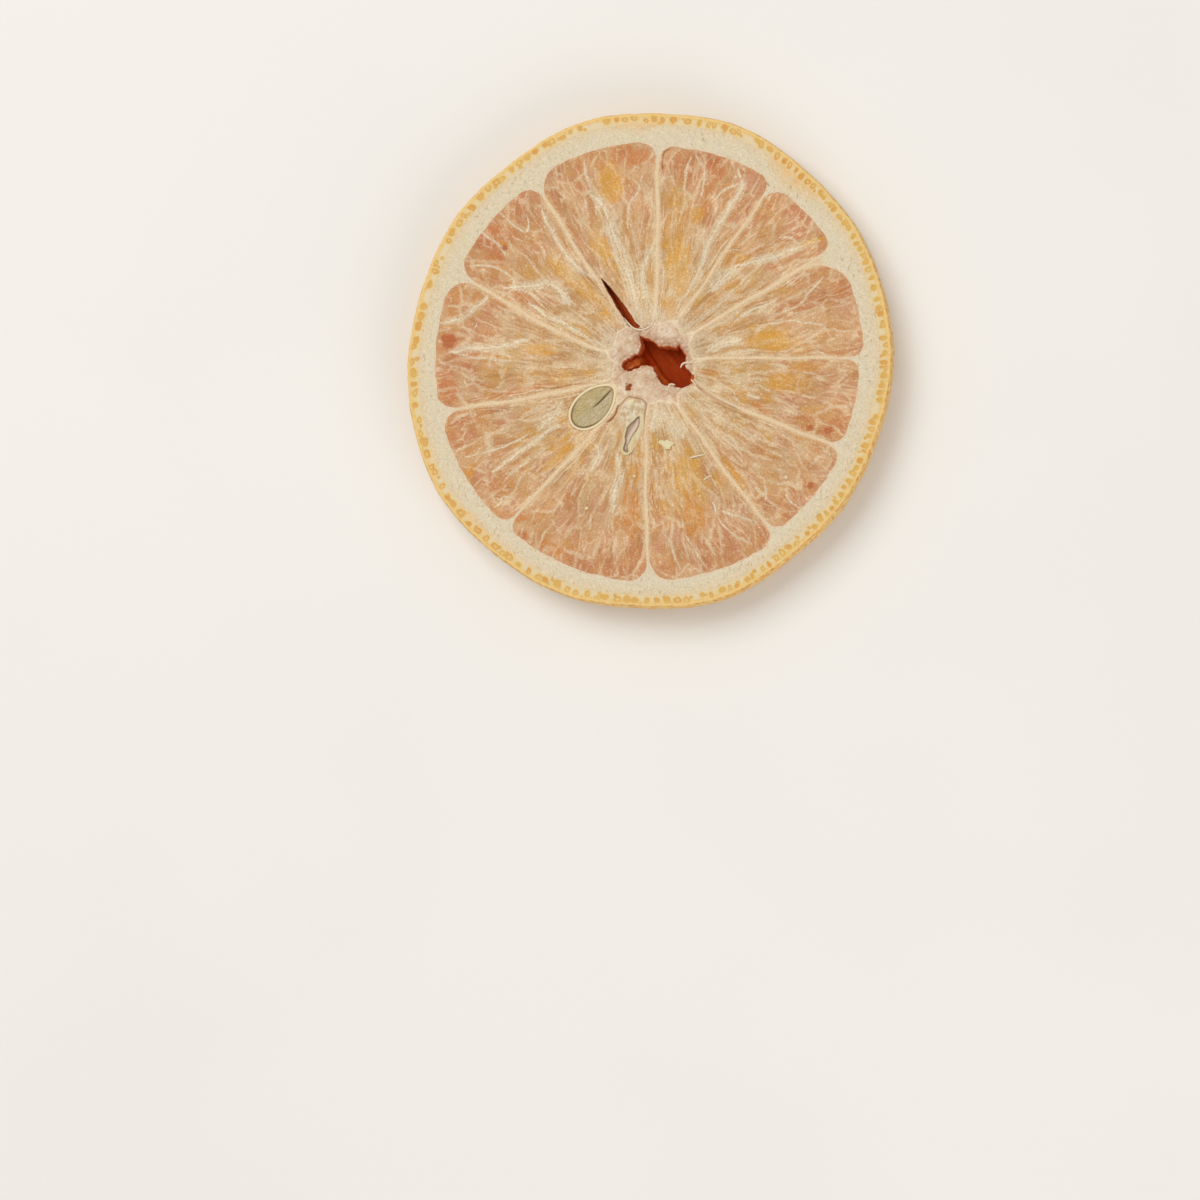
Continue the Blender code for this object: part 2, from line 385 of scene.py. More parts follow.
def kernel_outline(grow):
    """Points round the cut seed, pointed towards the core; grow moves them out."""
    around = np.linspace(0, 2 * np.pi, 64, endpoint=False)
    beak = 1 + 0.12 * np.maximum(np.cos(around), 0) ** 6
    along = (KERNEL_HALF[0] + grow * (1 + 0.7 * np.maximum(np.cos(around), 0) ** 6)) * np.cos(around) * beak
    beside = (KERNEL_HALF[1] + grow) * np.sin(around) * (1 - 0.06 * np.cos(around))
    return np.stack(turned(along, beside, -KERNEL_TURN), -1) + np.array(KERNEL_MIDDLE)


def seed_hollow(x, y):
    """How far the pulp and the core sink under the seeds."""
    coat = kernel_outline(COAT_GAP + COAT_WIDTH)
    husk = smooth_path(HUSK, 52, closed=True)
    inside_coat = near_outline(x, y, coat, 0.5, -1.0)
    inside_husk = near_outline(x, y, husk, 0.5, -1.0)
    return SEED_BED * np.maximum(step(0.0, 0.16, inside_coat), step(0.05, 0.3, inside_husk))


# ---------------------------------------------------------------- what shows in the pulp

# Pale strands: points, half width, strength.
STRANDS = (
    (((20, 13.8), (17.5, 13.2), (15, 12.3), (13, 11.7), (10, 11)), 0.45, 0.9),
    (((17.6, 13.3), (16.8, 14.3), (15.3, 14.4)), 0.16, 0.8),
    (((10.4, 10.7), (8.4, 9.6), (7.4, 8.2)), 0.8, 0.9),
    (((15, 7), (12.5, 6.1), (10, 4.6)), 0.3, 0.8),
    (((10.8, 2.5), (9, 2.1), (8, 1.8), (6.8, 0.9)), 0.55, 1),
    (((21.4, 2.6), (20, 4), (16.5, 4.5), (12.5, 4)), 0.12, 0.7),
    (((20.6, 9.8), (18.8, 7.8), (17.3, 6.2), (14, 5)), 0.14, 0.7),
    (((10.4, 22.4), (10.9, 20.3), (8.7, 17), (7, 14), (6, 11), (4.2, 7.5)), 0.42, 0.85),
    (((10.8, 21), (9, 20.2), (7.4, 18.8)), 0.16, 0.8),
    (((4.9, 24.2), (4.2, 22), (4, 19), (3.3, 16)), 0.16, 0.6),
    (((5.3, 24.4), (6.4, 22.4), (6.1, 19.5)), 0.22, 0.7),
    (((-7.4, 20.2), (-6, 18.9), (-5, 17), (-4, 14), (-3.3, 12), (-2.2, 9),
      (-1.6, 6)), 0.75, 0.9),
    (((-7.6, 19.6), (-7.8, 17.9)), 0.22, 0.6),
    (((0.5, 14.4), (-0.2, 12.6), (-0.9, 10.6), (-0.8, 8.4), (0.1, 6.6)), 0.45, 0.8),
    (((0.7, -5.7), (0.35, -7), (0.3, -8.2)), 0.9, 0.95),
    (((-8, 24.2), (-7.7, 22.2), (-7, 20.2)), 0.2, 0.7),
    (((-1.1, 22), (-1.5, 20.2), (-2.6, 18.6), (-2.7, 15.5)), 0.2, 0.6),
    (((-18.4, 18.2), (-17, 17), (-15.2, 15.6), (-14.6, 16.4), (-15, 17.8)), 0.15, 0.85),
    (((-20.6, 15.9), (-19.4, 15), (-18, 13.9), (-17.4, 12.6)), 0.2, 0.85),
    (((-21.7, 11.8), (-19.2, 11.6), (-17.2, 10.6), (-16.2, 9.4)), 0.17, 0.8),
    (((-17.4, 8.9), (-15, 9.1), (-12.2, 9.3), (-10.6, 8.3), (-9.6, 6.8)), 0.5, 0.95),
    (((-16.4, 8.7), (-14.2, 8.2), (-12.4, 6.9)), 0.22, 0.7),
    (((-13.1, 18.2), (-12, 16), (-10.6, 13.5), (-9, 11.5), (-6.6, 9.8)), 0.35, 0.8),
    (((-25.4, 4.9), (-22.6, 5.5), (-21, 6.8), (-19.6, 7.9)), 0.45, 0.75),
    (((-24.2, 1.4), (-21, 1.9), (-18, 2), (-14.5, 2.8)), 0.5, 0.85),
    (((-24, 1.4), (-20, 0.5), (-14.1, 0.1)), 0.2, 0.7),
    (((-14.8, 7.2), (-12.5, 5.7), (-10, 4.4), (-7, 2.7), (-5, 1.6)), 0.32, 0.85),
    (((-13.6, -8.2), (-11.6, -6.2), (-10.6, -4.6)), 0.9, 0.7),
    (((-19, -12.9), (-16.2, -11), (-13.6, -9.2), (-11, -7.4)), 0.34, 0.8),
    (((-22.4, -11.2), (-18, -10.1), (-14.2, -8.4)), 0.16, 0.7),
    (((-16, -16.4), (-17.6, -16), (-18, -16.8), (-18.8, -17.4)), 0.14, 0.7),
    (((-17.8, -14.4), (-15.4, -12.2), (-12.4, -10.2)), 0.2, 0.6),
    (((-7.2, -13), (-6.2, -11.2), (-6.6, -9.8)), 0.6, 0.8),
    (((-3.9, -11), (-3.7, -13.4), (-4.2, -15.4), (-4.5, -18)), 0.5, 1),
    (((-7.1, -18), (-7.3, -20)), 0.2, 0.6),
    (((1.2, -6), (2.6, -7.4), (3.8, -9.2)), 0.9, 0.7),
    (((4.6, -4.4), (7.6, -6.4), (11.4, -8.6), (14, -9.8)), 0.6, 0.6),
    (((8.6, -9.2), (10.4, -10.4)), 0.7, 0.6),
    (((16, -15.8), (16.8, -17), (18.2, -17.7)), 0.16, 0.8),
    (((18.8, -12.8), (20, -11.6), (21.6, -11.2)), 0.2, 0.6),
    (((13.4, -14), (13.7, -15.8), (13.5, -17)), 0.16, 0.6),
    (((8.3, -17.8), (10.4, -18.4), (12.8, -19.2)), 0.2, 0.8),
    (((7.6, -18.2), (9.6, -20.4), (12, -21.8)), 0.16, 0.6),
    (((8, -2.9), (9.6, -3.4), (10.4, -4.6)), 0.16, 0.6),
    (((12.2, -2), (13.6, -3.4), (16, -4.6)), 0.14, 0.6),
    (((11.4, -4), (13, -4.5)), 0.4, 0.7),
    (((3.6, -24.8), (2.6, -22.2), (1.4, -20)), 0.14, 0.6),
    (((6.8, -24.6), (5, -22), (4.2, -20.4)), 0.15, 0.6),
)
# Stained patches: middle, half length, half width, direction, gold, rust.
PATCHES = (
    ((14.4, 2.1), 2.8, 1.1, -4, 1, 0),
    ((3.4, 11.4), 3.8, 1.6, 92, 0.95, 0),
    ((5.4, 17), 1.4, 0.9, 60, 0.7, 0.1),
    ((3.2, 16), 5, 1.5, 85, 0.4, 0),
    ((-4.8, 21.2), 2.4, 1.6, 100, 1, 0.1),
    ((-5.9, 13.6), 2.4, 1, 118, 0.9, 0),
    ((-13.2, 1.5), 2.2, 0.8, -6, 1, 0.1),
    ((-8.8, 9.4), 4.2, 0.9, 139, 0.7, 0),
    ((-11.2, -11.4), 2.6, 0.6, 42, 0.9, 0.1),
    ((-1.8, -13.4), 1.5, 0.8, 95, 0.9, 0.4),
    ((-2.3, -17.8), 3.2, 1.1, 92, 0.6, 0.6),
    ((5.2, -18.2), 2.6, 1.3, 100, 0.6, 0.5),
    ((4.6, -14), 4, 1.8, 105, 0.7, 0),
    ((-15.5, -18.4), 1.4, 0.6, 10, 0.3, 0.7),
    ((-15.2, -20.6), 0.8, 0.5, -30, 0.1, 0.9),
    ((-11.8, -22), 1.6, 0.6, -30, 0.3, 0.5),
    ((-22.2, -13.3), 1.3, 0.6, 45, 0.8, 0.4),
    ((13.4, -5.8), 1.6, 0.5, -28, 0.4, 0.7),
    ((16.6, -2.8), 2.6, 1.3, -8, 0.7, 0.1),
    ((18.5, -1), 2.2, 0.6, 0, 0.5, 0.3),
    ((-12.6, 19.8), 2.2, 0.4, 125, 0.8, 0.5),
    ((-24.3, 2.8), 1.2, 1, 0, 0, 1),
    ((-24.4, -2.6), 2, 1.3, 100, 0, 0.7),
    ((20.8, -8.5), 0.9, 0.6, 0, 0, 0.9),
    ((18.5, -8.1), 0.6, 0.4, 0, 0, 0.7),
    ((7.8, 23), 1.2, 1.8, 10, 0, 0.7),
    ((-2.5, 24.4), 2.2, 1.2, 0, 0.1, 0.6),
    ((22.5, 8.2), 1.1, 0.8, 0, 0.1, 0.4),
    ((-19.2, 13.8), 2.4, 1.2, 120, 0, 0.5),
    ((-19, 16.2), 1.6, 0.9, -20, 0, 0.5),
    ((8, 7.6), 3.2, 0.5, 40, 0.5, 0.3),
    ((-16, -3.4), 5, 0.3, 12, 0.2, 0.7),
    ((-17.6, 14.3), 0.7, 0.25, -15, 0.9, 0.7),
    ((14.6, 10.9), 0.6, 0.3, 20, 0.2, 0.9),
    ((19.2, 13.8), 1.5, 0.3, 16, 1, 0.1),
    ((6.5, 9.6), 1.3, 0.5, 60, 0.5, 0.1),
    ((2.4, 6.4), 1.5, 0.8, 88, 0.8, 0.2),
    ((-3.6, 4.1), 0.8, 0.4, 150, 0.6, 0.6),
    ((-5, 5.3), 1.4, 0.7, 130, 0.7, 0.1),
    ((7.2, -1.5), 1.4, 0.6, -5, 0.5, 0.5),
    ((6.2, 4.1), 2, 0.3, 40, 0.2, 0.6),
    ((9.4, 4.2), 2.2, 0.35, 22, 0.5, 0.3),
    ((-9.2, -13), 2, 0.5, 58, 0.4, 0.1),
    ((10, -13.4), 3, 0.5, -52, 0.5, 0.1),
)
# Dark juice cells that stand out: middle and radius.
DARK_CELLS = (((-24.3, 2.8), 1.0), ((21.0, -8.4), 0.5), ((19.0, -8.1), 0.4), ((18.9, -14.9), 0.45),
              ((-17.5, 13.8), 0.35))
# Cracks between the parts: points, half width, depth.
CRACKS = (
    (((4.4, -2.9), (5.1, -2.6), (5.9, -3.3), (6.7, -3.95), (8.8, -5.1), (10.7, -6)), 0.12, 0.13),
    (((-9.4, 14.9), (-8, 12.8), (-6.4, 10.6)), 0.09, 0.10),
    (((-3.8, -5.2), (-4.15, -6.2), (-4.6, -6.8), (-5.15, -7.2)), 0.13, 0.20),
    (((-5.1, -7.2), (-6, -8.1), (-6.6, -8.8)), 0.06, 0.10),
    (((-16, -4.1), (-10, -2.8), (-6, -2.5)), 0.07, 0.08),
    (((2.5, 25.2), (1.6, 24.6), (1.45, 22.8)), 0.09, 0.14),
    (((13.7, 20.9), (14.2, 20.4)), 0.09, 0.10),
)
# Where a membrane hardly shows: its number, middle radius, half length, how far it fades.
FAINT = ((6, 11, 4, 0.4), (7, 10.5, 3, 0.5), (8, 7, 2.2, 0.7), (8, 11, 2.5, 0.4))
SPAN_STEPS = 6                   # steps between two of a path's points
THREAD_GAP = 0.48                # between the threads of one strand
WIDE_STRAND = 0.25               # a strand of more half width shows several threads
MIDDLE_RADIUS = 14.0             # where the pulp's across-coordinate is in true millimetres
CELLS, FINE_CELLS = 0.62, 1.4    # juice cells and their threads to a millimetre, at that radius
# A cell's length at the fruit's axis, how fast it shrinks with the radius, and its least.
CELL_LENGTH, CELL_SHRINK, SHORTEST_CELL = 12.0, 0.32, 1.2
PULP_FROM, PULP_SPAN = 5.0, 20.0    # the pulp's inner radius and its reach
SHOULDER_TO, RAIL_TO = (22.0, 24.0), (21.0, 23.5)    # radii between which these give out
PULP_DROP, PULP_SAG = 0.09, 0.20    # how far the pulp sinks at a pocket's edge, and more inside
FULL_CRACK = 0.22                # a crack this deep shows its full colour, brown tissue darkened by painted shade


def path_reach(x, y, points, margin, fullness):
    """Distance to a smooth path, and how full it is: it tapers at both ends."""
    line = smooth_path(points, SPAN_STEPS * (len(points) - 1))
    far, along = (windowed(x, y, line, margin, lambda a, b: near_segments(a, b, line)[k], empty)
                  for k, empty in ((0, 9.0), (1, 0.5)))
    return far, np.sqrt(unit(fullness * np.sin(np.pi * np.clip(along, 0.02, 0.98))))


def veil(x, y, points, half_width):
    """A pale strand along a smooth path: its haze, and the fine threads that run in it."""
    far, taper = path_reach(x, y, points, 1.5 * half_width + 0.4, 1.4)
    haze = unit(1.15 - far / np.maximum(1.45 * half_width * taper, 1e-3))
    astray = far + 0.35 * noise(x / 1.8, y / 1.8, 92)
    beside = np.abs((astray + 0.5 * THREAD_GAP) % THREAD_GAP - 0.5 * THREAD_GAP)
    wide = half_width > WIDE_STRAND
    within = step(1.5 * half_width, 1.1 * half_width, far) * step(0.1, 0.5, taper) * wide
    spine = (0.70 + 0.15 * wide) * unit(1.25 - far / 0.12)
    fine = np.maximum(0.55 * within * unit(1.3 - beside / 0.10), spine)
    return haze, fine


def patch(x, y, place, length, width, direction):
    """1 inside a ragged oval patch."""
    along, beside = turned(x - place[0], y - place[1], math.radians(direction))
    off = np.hypot(along / length, beside / width)
    return fall(0.5, 1.3, off + 0.5 * rough(x / 1.3, y / 1.3, 91, 3))


def cracks(x, y):
    """Depth in millimetres of the cracks at each point."""
    deep = np.zeros(x.shape)
    for points, half_width, depth in CRACKS:
        far, taper = path_reach(x, y, points, half_width + 0.4, 1.3)
        here = unit(1.5 - 1.1 * far / np.maximum(half_width * taper, 1e-3))
        deep = np.maximum(deep, depth * here)
    return deep


def faded(x, y):
    """How far the membranes fade into the pulp's colour."""
    amount = np.zeros(x.shape)
    r, theta = polar(x, y)
    for number, middle, half_length, strength in FAINT:
        near = fall(0.5, 0.9, np.abs(wrap(theta - membrane_angle(number, r))) * r)
        along = fall(0.6, 1.1, np.abs(r - middle) / half_length + 0.3 * noise(x / 0.8, y / 0.8, 93))
        amount = np.maximum(amount, strength * near * along)
    return amount


def mirrored(number, x, y):
    """The same place counted from a pocket's other membrane, which the lower face uses."""
    r, theta = polar(x, y)
    middle, _ = pocket_middle(number)
    return r * np.cos(2 * middle - theta), r * np.sin(2 * middle - theta)


def pulp_marks(x, y, at_x, at_y):
    """Haze, strands, stains and dark cells, which lie by (at_x, at_y) and fray by (x, y)."""
    marks = {label: np.zeros(x.shape) for label in ("haze", "strand", "gold", "rust", "dark")}

    def mark(label, amount):
        marks[label] = np.maximum(marks[label], amount)

    warp_x = at_x + 0.14 * noise(x / 1.6, y / 1.6, 71)
    warp_y = at_y + 0.14 * noise(x / 1.6, y / 1.6, 72)
    for points, half_width, strength in STRANDS:
        soft, fine = veil(warp_x, warp_y, points, half_width)
        mark("haze", strength * soft)
        mark("strand", strength * fine)
    for place, length, wide, direction, yellow, red in PATCHES:
        amount = patch(at_x, at_y, place, length, wide, direction)
        mark("gold", yellow * amount)
        mark("rust", red * amount)
    for (cell_x, cell_y), radius in DARK_CELLS:
        off = np.hypot(at_x - cell_x, at_y - cell_y) / radius
        mark("dark", fall(0.75, 1.05, off + 0.25 * noise(x / 0.7, y / 0.7, 94)))
    return marks


def pulp_face(number, x, y, side):
    """Height in millimetres over a face's plane, and what shows, for points of one pocket."""
    salt = 100 * side
    r = np.hypot(x, y)
    share, inside, _ = pocket_shape(number, x, y)
    _, width = pocket_middle(number)
    across = (share - 0.5) * width * MIDDLE_RADIUS
    bend = 0.45 * noise(x / 5.0, y / 5.0, 21 + salt) + 0.09 * noise(x / 1.7, y / 1.7, 22 + salt)
    slide = 1.2 * noise(x / 5.0, y / 5.0, 23 + salt) + 0.4 * noise(x / 1.9, y / 1.9, 24 + salt)
    u, v = across + bend, r + slide
    squeeze = r / MIDDLE_RADIUS

    # juice cells: wide near the pith, long and thin near the core
    down = -np.log(np.maximum(CELL_LENGTH - CELL_SHRINK * v, SHORTEST_CELL)) / CELL_SHRINK
    wall, heart, name = cells(u * CELLS + 9.7 * number, down + 3.3 * number, 41 + salt)
    wall = wall / CELLS * squeeze
    walls = unit(1.1 - wall / 0.42)
    u_fine = across + 1.1 * bend + 0.12 * noise(x / 0.9, y / 0.9, 25 + salt)
    fine_wall, _, fine_name = cells(u_fine * FINE_CELLS + 5.1 * number, down * 2.2 + 1.3 * number, 47 + salt)
    threads = unit(1.1 - fine_wall / FINE_CELLS * squeeze / 0.26)
    walls = walls * (0.35 + 0.65 * unit(0.55 + 0.8 * rough(x / 2.2, y / 2.2, 33 + salt)))
    threads = threads * step(-0.3, 0.5, rough(x / 1.7, y / 1.7, 35 + salt))
    streak = rough(u * 1.5 + 7 * number, r * 0.13, 51 + salt, 5)
    blotch = rough(x / 3.0, y / 3.0, 61 + salt, 3)

    def beside(wave, per_pocket, per_half, own_salt):
        """Noise that runs along each membrane, other on each side of it."""
        return noise(r / wave, 0 * r + per_pocket * number + per_half * (share > 0.5), own_salt + salt)

    # pale stuff spreads unevenly from the membranes onto the pulp
    spread = 0.32 + 0.26 * beside(2.6, 4.1, 6, 38)
    shoulder = fall(0.2, 1.0, inside / np.maximum(spread, 0.06)) * fall(*SHOULDER_TO, r)
    # a second line keeps beside each membrane, coming and going
    aside = 0.42 + 0.16 * beside(4.0, 2.3, 5, 36)
    rail = unit(1.2 - np.abs(inside - aside) / 0.11) * fall(*RAIL_TO, r)
    rail = rail * step(-0.25, 0.35, beside(3.5, 7.9, 3, 37))

    marks = pulp_marks(x, y, *((x, y) if side == TOP else mirrored(number, x, y)))
    crack = cracks(x, y) * (side == TOP)
    reach = unit((r - PULP_FROM) / PULP_SPAN)
    relief = (0.09 * blotch + 0.10 * walls ** 2 + 0.05 * threads ** 2
              + 0.05 * (marks["haze"] + marks["strand"]) + 0.07 * streak
              + 0.08 * rail ** 2 + 0.10 * (name - 0.5) * step(0.0, 0.4, wall)
              - 0.04 * fall(0.1, 0.5, heart))
    height = (-PULP_DROP - PULP_SAG * step(0.0, 1.4, inside)
              + relief * step(-0.05, 0.4, inside) - crack)
    height = height - (seed_hollow(x, y) if side == TOP else 0)
    shown = {
        "reach": reach, "tone": 0.6 * name + 0.4 * fine_name, "blotch": 0.5 + 0.5 * blotch,
        "wall": walls, "thread": threads, "shoulder": shoulder, "rail": rail,
        "chalk": step(-0.1, 0.7, streak + 0.35 * blotch + 0.8 * (0.42 - reach)),
        "edge": fall(0.0, 0.35, inside) * (1 - shoulder), "crack": unit(crack / FULL_CRACK),
        "flow": np.stack([u + 20.0 * number, r + 0 * u, 40.0 * side + 0 * u], -1),
    }
    return height, {**shown, **marks}


# ---------------------------------------------------------------- pith, membranes and core

# The core's upper side slopes into the hole: the slope's middle and half length, along x.
SLOPE_MIDDLE = 2.4
SLOPE_HALF = 2.6
SLOPE_DROP, LIP_DROP = 0.75, 0.18
PIT, PIT_RADIUS, PIT_DEPTH = (-2.55, -3.05), 0.44, 0.3
ROSETTE, ROSETTE_RADIUS = (1.37, 3.70), 0.36     # a round bundle of vessels cut across
RING_FROM = (22.0, 24.5)         # radii between which the pith ring takes over
CORE_TO = (4.5, 8.5)             # radii between which the core gives way to the membranes
FROTH_BEAD = 0.52                # pitch of the froth's beads
DEEPEST_FUNNEL = 1.6


def hole_funnel(x, y, from_hole, side):
    """How far the core's face sinks towards the hole."""
    lip = LIP_DROP * fall(0.0, 0.5, from_hole)
    if side == BASE:
        return lip
    beside = fall(0.75, 1.25, np.abs(x - SLOPE_MIDDLE) / SLOPE_HALF)
    slope = beside * step(-0.6, 1.2, y) * unit(1 - from_hole)
    return lip + SLOPE_DROP * slope


def pith_face(x, y, side):
    """Height in millimetres over a face's plane, and what shows, on all but pulp and skin."""
    salt = 100 * side
    r, theta = polar(x, y)
    from_skin = rim(theta) - SKIN_WIDTH - r
    from_pulp = -deepest(x, y)
    from_hole = -opening(x, y)
    ring = step(*RING_FROM, r)
    core = fall(*CORE_TO, r)
    froth = fall(0.2, 2.2, from_hole + 1.4 * (r > 6.0))
    lump, _, _ = cells(x / FROTH_BEAD, y / FROTH_BEAD, 401 + salt)
    funnel = hole_funnel(x, y, from_hole, side)
    crack = cracks(x, y) * (side == TOP)
    off_pit = np.hypot(x - PIT[0], y - PIT[1]) / PIT_RADIUS + 0.6 * noise(x / 0.27, y / 0.27, 404)
    # the pit: a small hollow, coloured red-brown with painted shade
    pit = fall(0.6, 1.0, off_pit) * (side == TOP)
    web = rough(x / 0.9, y / 0.9, 411 + salt, 3)
    around = np.abs(np.hypot(x - ROSETTE[0], y - ROSETTE[1]) - ROSETTE_RADIUS)
    rosette = fall(0.05, 0.18, around) * (side == TOP)
    height = (-0.06 * fall(0.0, 0.2 + 0.4 * ring, from_pulp)
              + ring * step(0.1, 0.9, from_skin) * (0.07 * rough(x / 2.6, y / 2.6, 412 + salt, 4))
              + (1 - ring) * step(0.05, 0.3, from_pulp) * 0.05 * rough(x / 1.1, y / 1.1, 413 + salt)
              + core * (0.10 * web - 0.08 + froth * (0.26 * step(0.0, 0.5, lump) - 0.14) + 0.06 * rosette)
              - funnel - crack - PIT_DEPTH * pit)
    height = height - (seed_hollow(x, y) if side == TOP else 0)
    shown = {
        "ring": ring, "core": core, "edge": fall(0.0, 0.35, from_pulp),
        "tip_line": (1 - ring) * fall(0.08, 0.26, np.abs(from_pulp - 0.13)),
        # froth: painted shade in the gaps between the froth's beads; the beads' tops carry a painted
        # highlight, with the real pale rosette
        "web": 0.5 + 0.5 * web, "froth": froth * fall(0.0, 0.3, lump),
        "bead": core * froth * step(0.25, 0.6, lump) + rosette,
        "lane": (1 - ring) * step(6.5, 8.0, r), "inner": unit(from_pulp / 0.16),
        "tint": 0.5 + 0.5 * rough(x / 3.0, y / 3.0, 414 + salt, 2),
        # the slope's pinkish tint, deepened with depth as painted shade
        "sunk": unit(funnel / DEEPEST_FUNNEL), "crack": unit(crack / FULL_CRACK), "pit": pit,
        "faint": faded(x, y), "warm": warm_rim(theta, from_skin, x, y),
    }
    return height, shown


# Where the skin's colour spreads into the pith: direction, half width, reach in millimetres, strength.
BLUSHES = ((52, 11, 1.8, 1), (93, 9, 1, 0.8), (222, 8, 0.7, 0.8), (335, 8, 0.5, 0.3))


def warm_rim(theta, from_skin, x, y):
    """How much of the skin's colour has spread into the pith."""
    ragged = 0.35 * noise(x / 0.8, y / 0.8, 421)
    amount = 0.28 * fall(0.0, 1.2, from_skin + ragged)
    for direction, half_width, reach, strength in BLUSHES:
        off = np.abs(wrap(theta - math.radians(direction))) / math.radians(half_width)
        depth = fall(-0.2, 1.3, from_skin / (reach * np.maximum(1.2 - off, 0.05)) + ragged)
        amount = np.maximum(amount, strength * depth * fall(0.3, 1.2, off + 0.5 * ragged))
    return amount


# ---------------------------------------------------------------- skin

# Rows of oil glands: how many, depth of their middles in from the edge, scale, share that is there.
GLAND_ROWS = ((160, 0.68, 1, 0.95), (170, 0.95, 0.5, 0.4), (240, 0.33, 0.35, 0.3))
CROWDING, CROWDED_TOWARDS = 0.2, math.radians(10)
DIMPLE_PITCH, DIMPLE_ROW = 0.92, 0.80    # between the outside's dimples, along and up


def crowded(theta):
    """Turns an angle so that equal steps lie closer together on the right than on the left."""
    return theta + CROWDING * (np.sin(theta - CROWDED_TOWARDS) + math.sin(CROWDED_TOWARDS))


def glands(theta, inset, side):
    """Oil glands cut open in the skin's band: inside one, its halo, its open heart, its tone."""
    salt = 500 + 40 * side
    inside, halo, heart, tone = (np.zeros(theta.shape) for _ in range(4))
    arc = theta * RIM_RADIUS
    ragged = (0.24 * noise(arc / 0.40, inset / 0.40, salt + 9)
              + 0.09 * noise(arc / 0.15, inset / 0.15, salt + 8))
    for row, (count, depth, scale, chance) in enumerate(GLAND_ROWS):
        place = crowded(theta % (2 * np.pi)) / (2 * np.pi) * count
        pitch = 2 * np.pi * RIM_RADIUS / count
        for offset in (-1, 0, 1):
            index = np.floor(place) + offset
            turn = np.mod(index, count)
            pick = [hashed(turn, 0 * turn + row, salt + k) for k in range(7)]
            along = (place - index - 0.5 - 0.5 * (pick[0] - 0.5)) * pitch
            across = inset - depth - 0.34 * (pick[1] - 0.5)
            far = np.hypot(along / (scale * (0.26 + 0.28 * pick[2])),
                           across / (scale * (0.29 + 0.28 * pick[3]))) + ragged
            real = pick[4] < chance
            here = fall(0.60, 1.05, far) * real
            tone = np.where(here > inside, pick[5], tone)
            opened = (pick[6] < 0.45 - 0.25 * np.cos(theta)) * fall(0.15, 0.55, far)
            heart = np.where(here > inside, opened, heart)
            inside = np.maximum(inside, here)
            halo = np.maximum(halo, fall(1.0, 1.9, far) * real)
    return inside, halo, heart, tone


def side_dimples(arc, z):
    """The outside's oil glands: small dark dents, drawn out a little round the fruit."""
    turns = np.round(2 * np.pi * RIM_RADIUS / DIMPLE_PITCH)
    place = arc / (2 * np.pi * RIM_RADIUS) * turns
    i, j = np.floor(place), np.floor(z / DIMPLE_ROW)
    dent, tone = np.zeros(arc.shape), np.zeros(arc.shape)
    for di in (-1, 0, 1):
        for dj in (-1, 0, 1):
            turn, row = np.mod(i + di, turns), j + dj
            pick = [hashed(turn, row, 600 + k) for k in range(5)]
            along = (place - i - di - 0.5 - 0.8 * (pick[0] - 0.5)) * DIMPLE_PITCH
            across = z - (row + 0.5 + 0.8 * (pick[1] - 0.5)) * DIMPLE_ROW
            size = 0.16 + 0.14 * pick[2]
            far = np.hypot(along / (1.25 * size), across / size)
            here = fall(0.5, 1.25, far) * (pick[3] < 0.9)
            tone = np.where(here > dent, pick[4], tone)
            dent = np.maximum(dent, here)
    return dent, tone


# ---------------------------------------------------------------- meshes

def in_metres(points):
    """Millimetres from the fruit's axis to the frame's metres."""
    return (points + np.array((FRUIT_AXIS[0], FRUIT_AXIS[1], 0.0))) * MM + np.array((0, 0, LOW.z))


def new_piece(name, solid, material):
    """A mesh piece from points, faces and the named values on its points."""
    points, faces, shown = solid
    mesh = bpy.data.meshes.new(name)
    mesh.from_pydata(in_metres(points).tolist(), [], faces)
    for label, values in shown.items():
        kind, key = ("FLOAT_VECTOR", "vector") if values.ndim == 2 else ("FLOAT", "value")
        layer = mesh.attributes.new(label, kind, "POINT")
        layer.data.foreach_set(key, values.astype(np.float32).ravel())
    mesh.materials.append(material)
    mesh.validate()
    mesh.shade_smooth()
    mesh.set_sharp_from_angle(angle=SHARP_ANGLE)
    piece = bpy.data.objects.new(name, mesh)
    bpy.context.scene.collection.objects.link(piece)
    return piece


def close_pinches(kept):
    """Fills quads so that no two touch at a corner only."""
    for _ in range(8):
        a, b, c, d = kept[:-1, :-1], kept[:-1, 1:], kept[1:, :-1], kept[1:, 1:]
        rising, falling = a & d & ~b & ~c, b & c & ~a & ~d
        if not (rising.any() or falling.any()):
            break
        kept[:-1, 1:][rising] = True
        kept[:-1, :-1][falling] = True
    return kept


def largest_part(kept):
    """The biggest patch of joined quads."""
    left, best = kept.copy(), np.zeros_like(kept)
    while left.sum() > best.sum():
        part = np.zeros_like(kept)
        start = np.unravel_index(left.argmax(), left.shape)
        part[start] = True
        size = 0
        while part.sum() > size:
            size = part.sum()
            for _ in range(12):
                grown = part.copy()
                grown[1:] |= part[:-1]
                grown[:-1] |= part[1:]
                grown[:, 1:] |= part[:, :-1]
                grown[:, :-1] |= part[:, 1:]
                part = grown & left
        left &= ~part
        best = part if part.sum() > best.sum() else best
    return best


